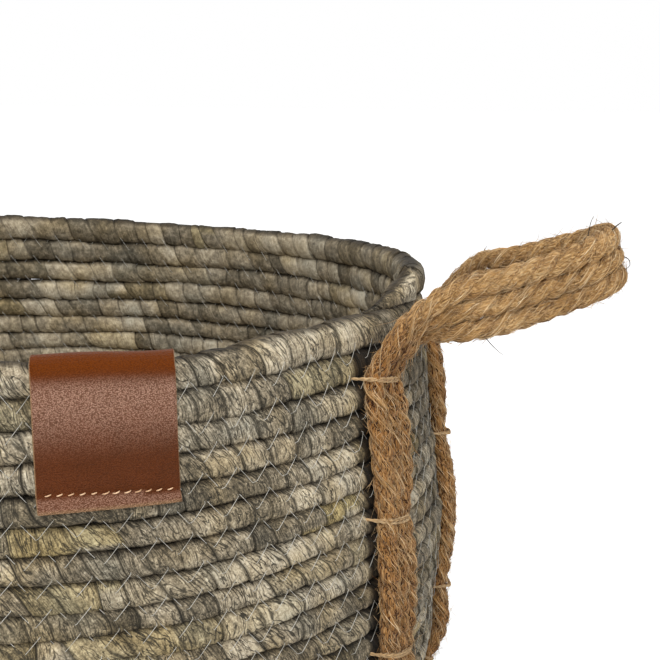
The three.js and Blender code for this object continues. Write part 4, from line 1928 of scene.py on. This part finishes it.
@dataclass
class Studio:
    """A white floor, soft lamps and the camera at the photograph's angle.

    The eye is in the basket's frame, in millimetres. It looks by yaw and pitch, with the whole
    turned about Z after. A lamp is its name, its place and the length of its side in metres,
    and its power in watts.
    """

    eye: tuple[float, float, float] = (290.7, -557.1, 289.0)
    yaw: float = 0.2202
    pitch: float = 0.1967
    turn: float = math.radians(27.55)
    lens: float = 77.4
    sensor: float = 36.0
    floor_size: float = 12.0
    ambient: float = 0.41
    floor_glow: float = 0.72
    floor_colour: str = "ececec"
    aim: tuple[float, float, float] = (0.0, 0.0, 0.1)
    lamps: tuple[tuple[str, tuple[float, float, float], float, float], ...] = (
        ("front lamp", (0.35, -1.55, 1.15), 0.7, 16.0),
        ("side lamp", (1.45, -0.75, 1.1), 0.5, 8.0),
        ("top lamp", (0.1, -0.5, 1.4), 0.5, 7.0),
    )

    def build_camera(self) -> None:
        """Place the camera."""
        data = bpy.data.cameras.new("camera")
        data.lens, data.sensor_width = self.lens, self.sensor
        camera = bpy.data.objects.new("camera", data)
        bpy.context.scene.collection.objects.link(camera)
        forward = Vector(
            (
                math.sin(self.yaw) * math.cos(self.pitch),
                math.cos(self.yaw) * math.cos(self.pitch),
                -math.sin(self.pitch),
            )
        )
        forward.rotate(Matrix.Rotation(self.turn, 3, "Z"))
        camera.location = Vector(self.eye) * MM
        camera.rotation_euler = forward.to_track_quat("-Z", "Y").to_euler()
        bpy.context.scene.camera = camera

    def build_floor(self) -> None:
        """Lay a white floor that still shows the basket's shadow."""
        half = self.floor_size / MM / 2
        corners = half * np.array([[-1, -1, 0], [1, -1, 0], [1, 1, 0], [-1, 1, 0]])
        material = bpy.data.materials.new("white studio floor")
        material.use_nodes = True
        tree = material.node_tree
        shader = tree.nodes["Principled BSDF"]
        shader.inputs["Base Color"].default_value = linear(self.floor_colour)
        shader.inputs["Roughness"].default_value = 0.9
        shader.inputs["Specular IOR Level"].default_value = 0.0
        shader.inputs["Emission Color"].default_value = (1, 1, 1, 1)
        lit = {"operation": "MULTIPLY", 1: self.floor_glow}
        glow = add_node(tree, "Math", lit, {0: self.seen_directly(tree)})
        tree.links.new(glow.outputs[0], shader.inputs["Emission Strength"])
        floor = make_piece("floor", corners, [[0, 1, 2, 3]], material)

    def seen_directly(self, tree: Tree) -> Socket:
        """A socket that is 1 for what the camera, a mirror or glass sees.

        Args:
            tree: the node tree of a material or world.

        Returns:
            The socket.
        """
        path = add_node(tree, "LightPath")
        total = path.outputs["Is Camera Ray"]
        either = {"operation": "ADD", "use_clamp": True}
        for other in ("Is Glossy Ray", "Is Transmission Ray"):
            total = add_node(tree, "Math", either, {0: total, 1: path.outputs[other]}).outputs[0]
        return total

    def build_world(self) -> None:
        """Light the basket evenly from all round, and show white behind it."""
        world = bpy.data.worlds.new("studio")
        world.use_nodes = True
        tree = world.node_tree
        tree.nodes.clear()
        levels = {"To Min": self.ambient, "To Max": 1.0}
        level = add_node(tree, "MapRange", levels, {"Value": self.seen_directly(tree)})
        white = {"Color": (1, 1, 1, 1)}
        glow = add_node(tree, "Background", white, {"Strength": level.outputs[0]})
        add_node(tree, "OutputWorld", links={"Surface": glow.outputs[0]})
        bpy.context.scene.world = world

    def build_lamp(self, name: str, place: tuple[float, ...], size: float, power: float) -> None:
        """Hang one soft square lamp that points at the basket.

        Args:
            name: the lamp's name.
            place: where it hangs, in metres.
            size: the length of its side, in metres.
            power: its power in watts.
        """
        data = bpy.data.lights.new(name, "AREA")
        data.size, data.energy = size, power
        lamp = bpy.data.objects.new(name, data)
        bpy.context.scene.collection.objects.link(lamp)
        lamp.location = place
        facing = Vector(self.aim) - lamp.location
        lamp.rotation_euler = facing.to_track_quat("-Z", "Y").to_euler()

    def build(self) -> None:
        """Build the studio round the basket."""
        self.build_camera()
        self.build_floor()
        self.build_world()
        for lamp in self.lamps:
            self.build_lamp(*lamp)


def main() -> None:
    """Build the basket piece by piece, then the studio."""
    logging.basicConfig(level=logging.INFO, format="%(name)s: %(message)s")
    route = CoilRoute()
    wrapping = LeafWrapping(walk=float(route.tables["walked"][-1]))
    jute = JuteFibre("laid jute rope", 0.92)
    yarn = JuteFibre("pale jute yarn", 0.92, dark="8a6844", body="c9a577", pale="e6cda2")
    combed = JuteFibre("combed jute fibre", 0.7, dark="6b4826", body="c49b63", pale="f8e6c2")
    assemblies = [
        CoiledBody(route, wrapping),
        ZigzagSewing(route),
        *(RopeHandle(route, side, jute, yarn, combed) for side in HandleSide),
        LeatherLabel(route),
    ]
    for assembly in assemblies:
        pieces = assembly.build()
        LOG.info("%s: %d pieces", type(assembly).__name__, len(pieces))
    scene = bpy.context.scene
    scene.view_settings.view_transform = "Standard"
    Studio().build()


if __name__ == "__main__":
    main()
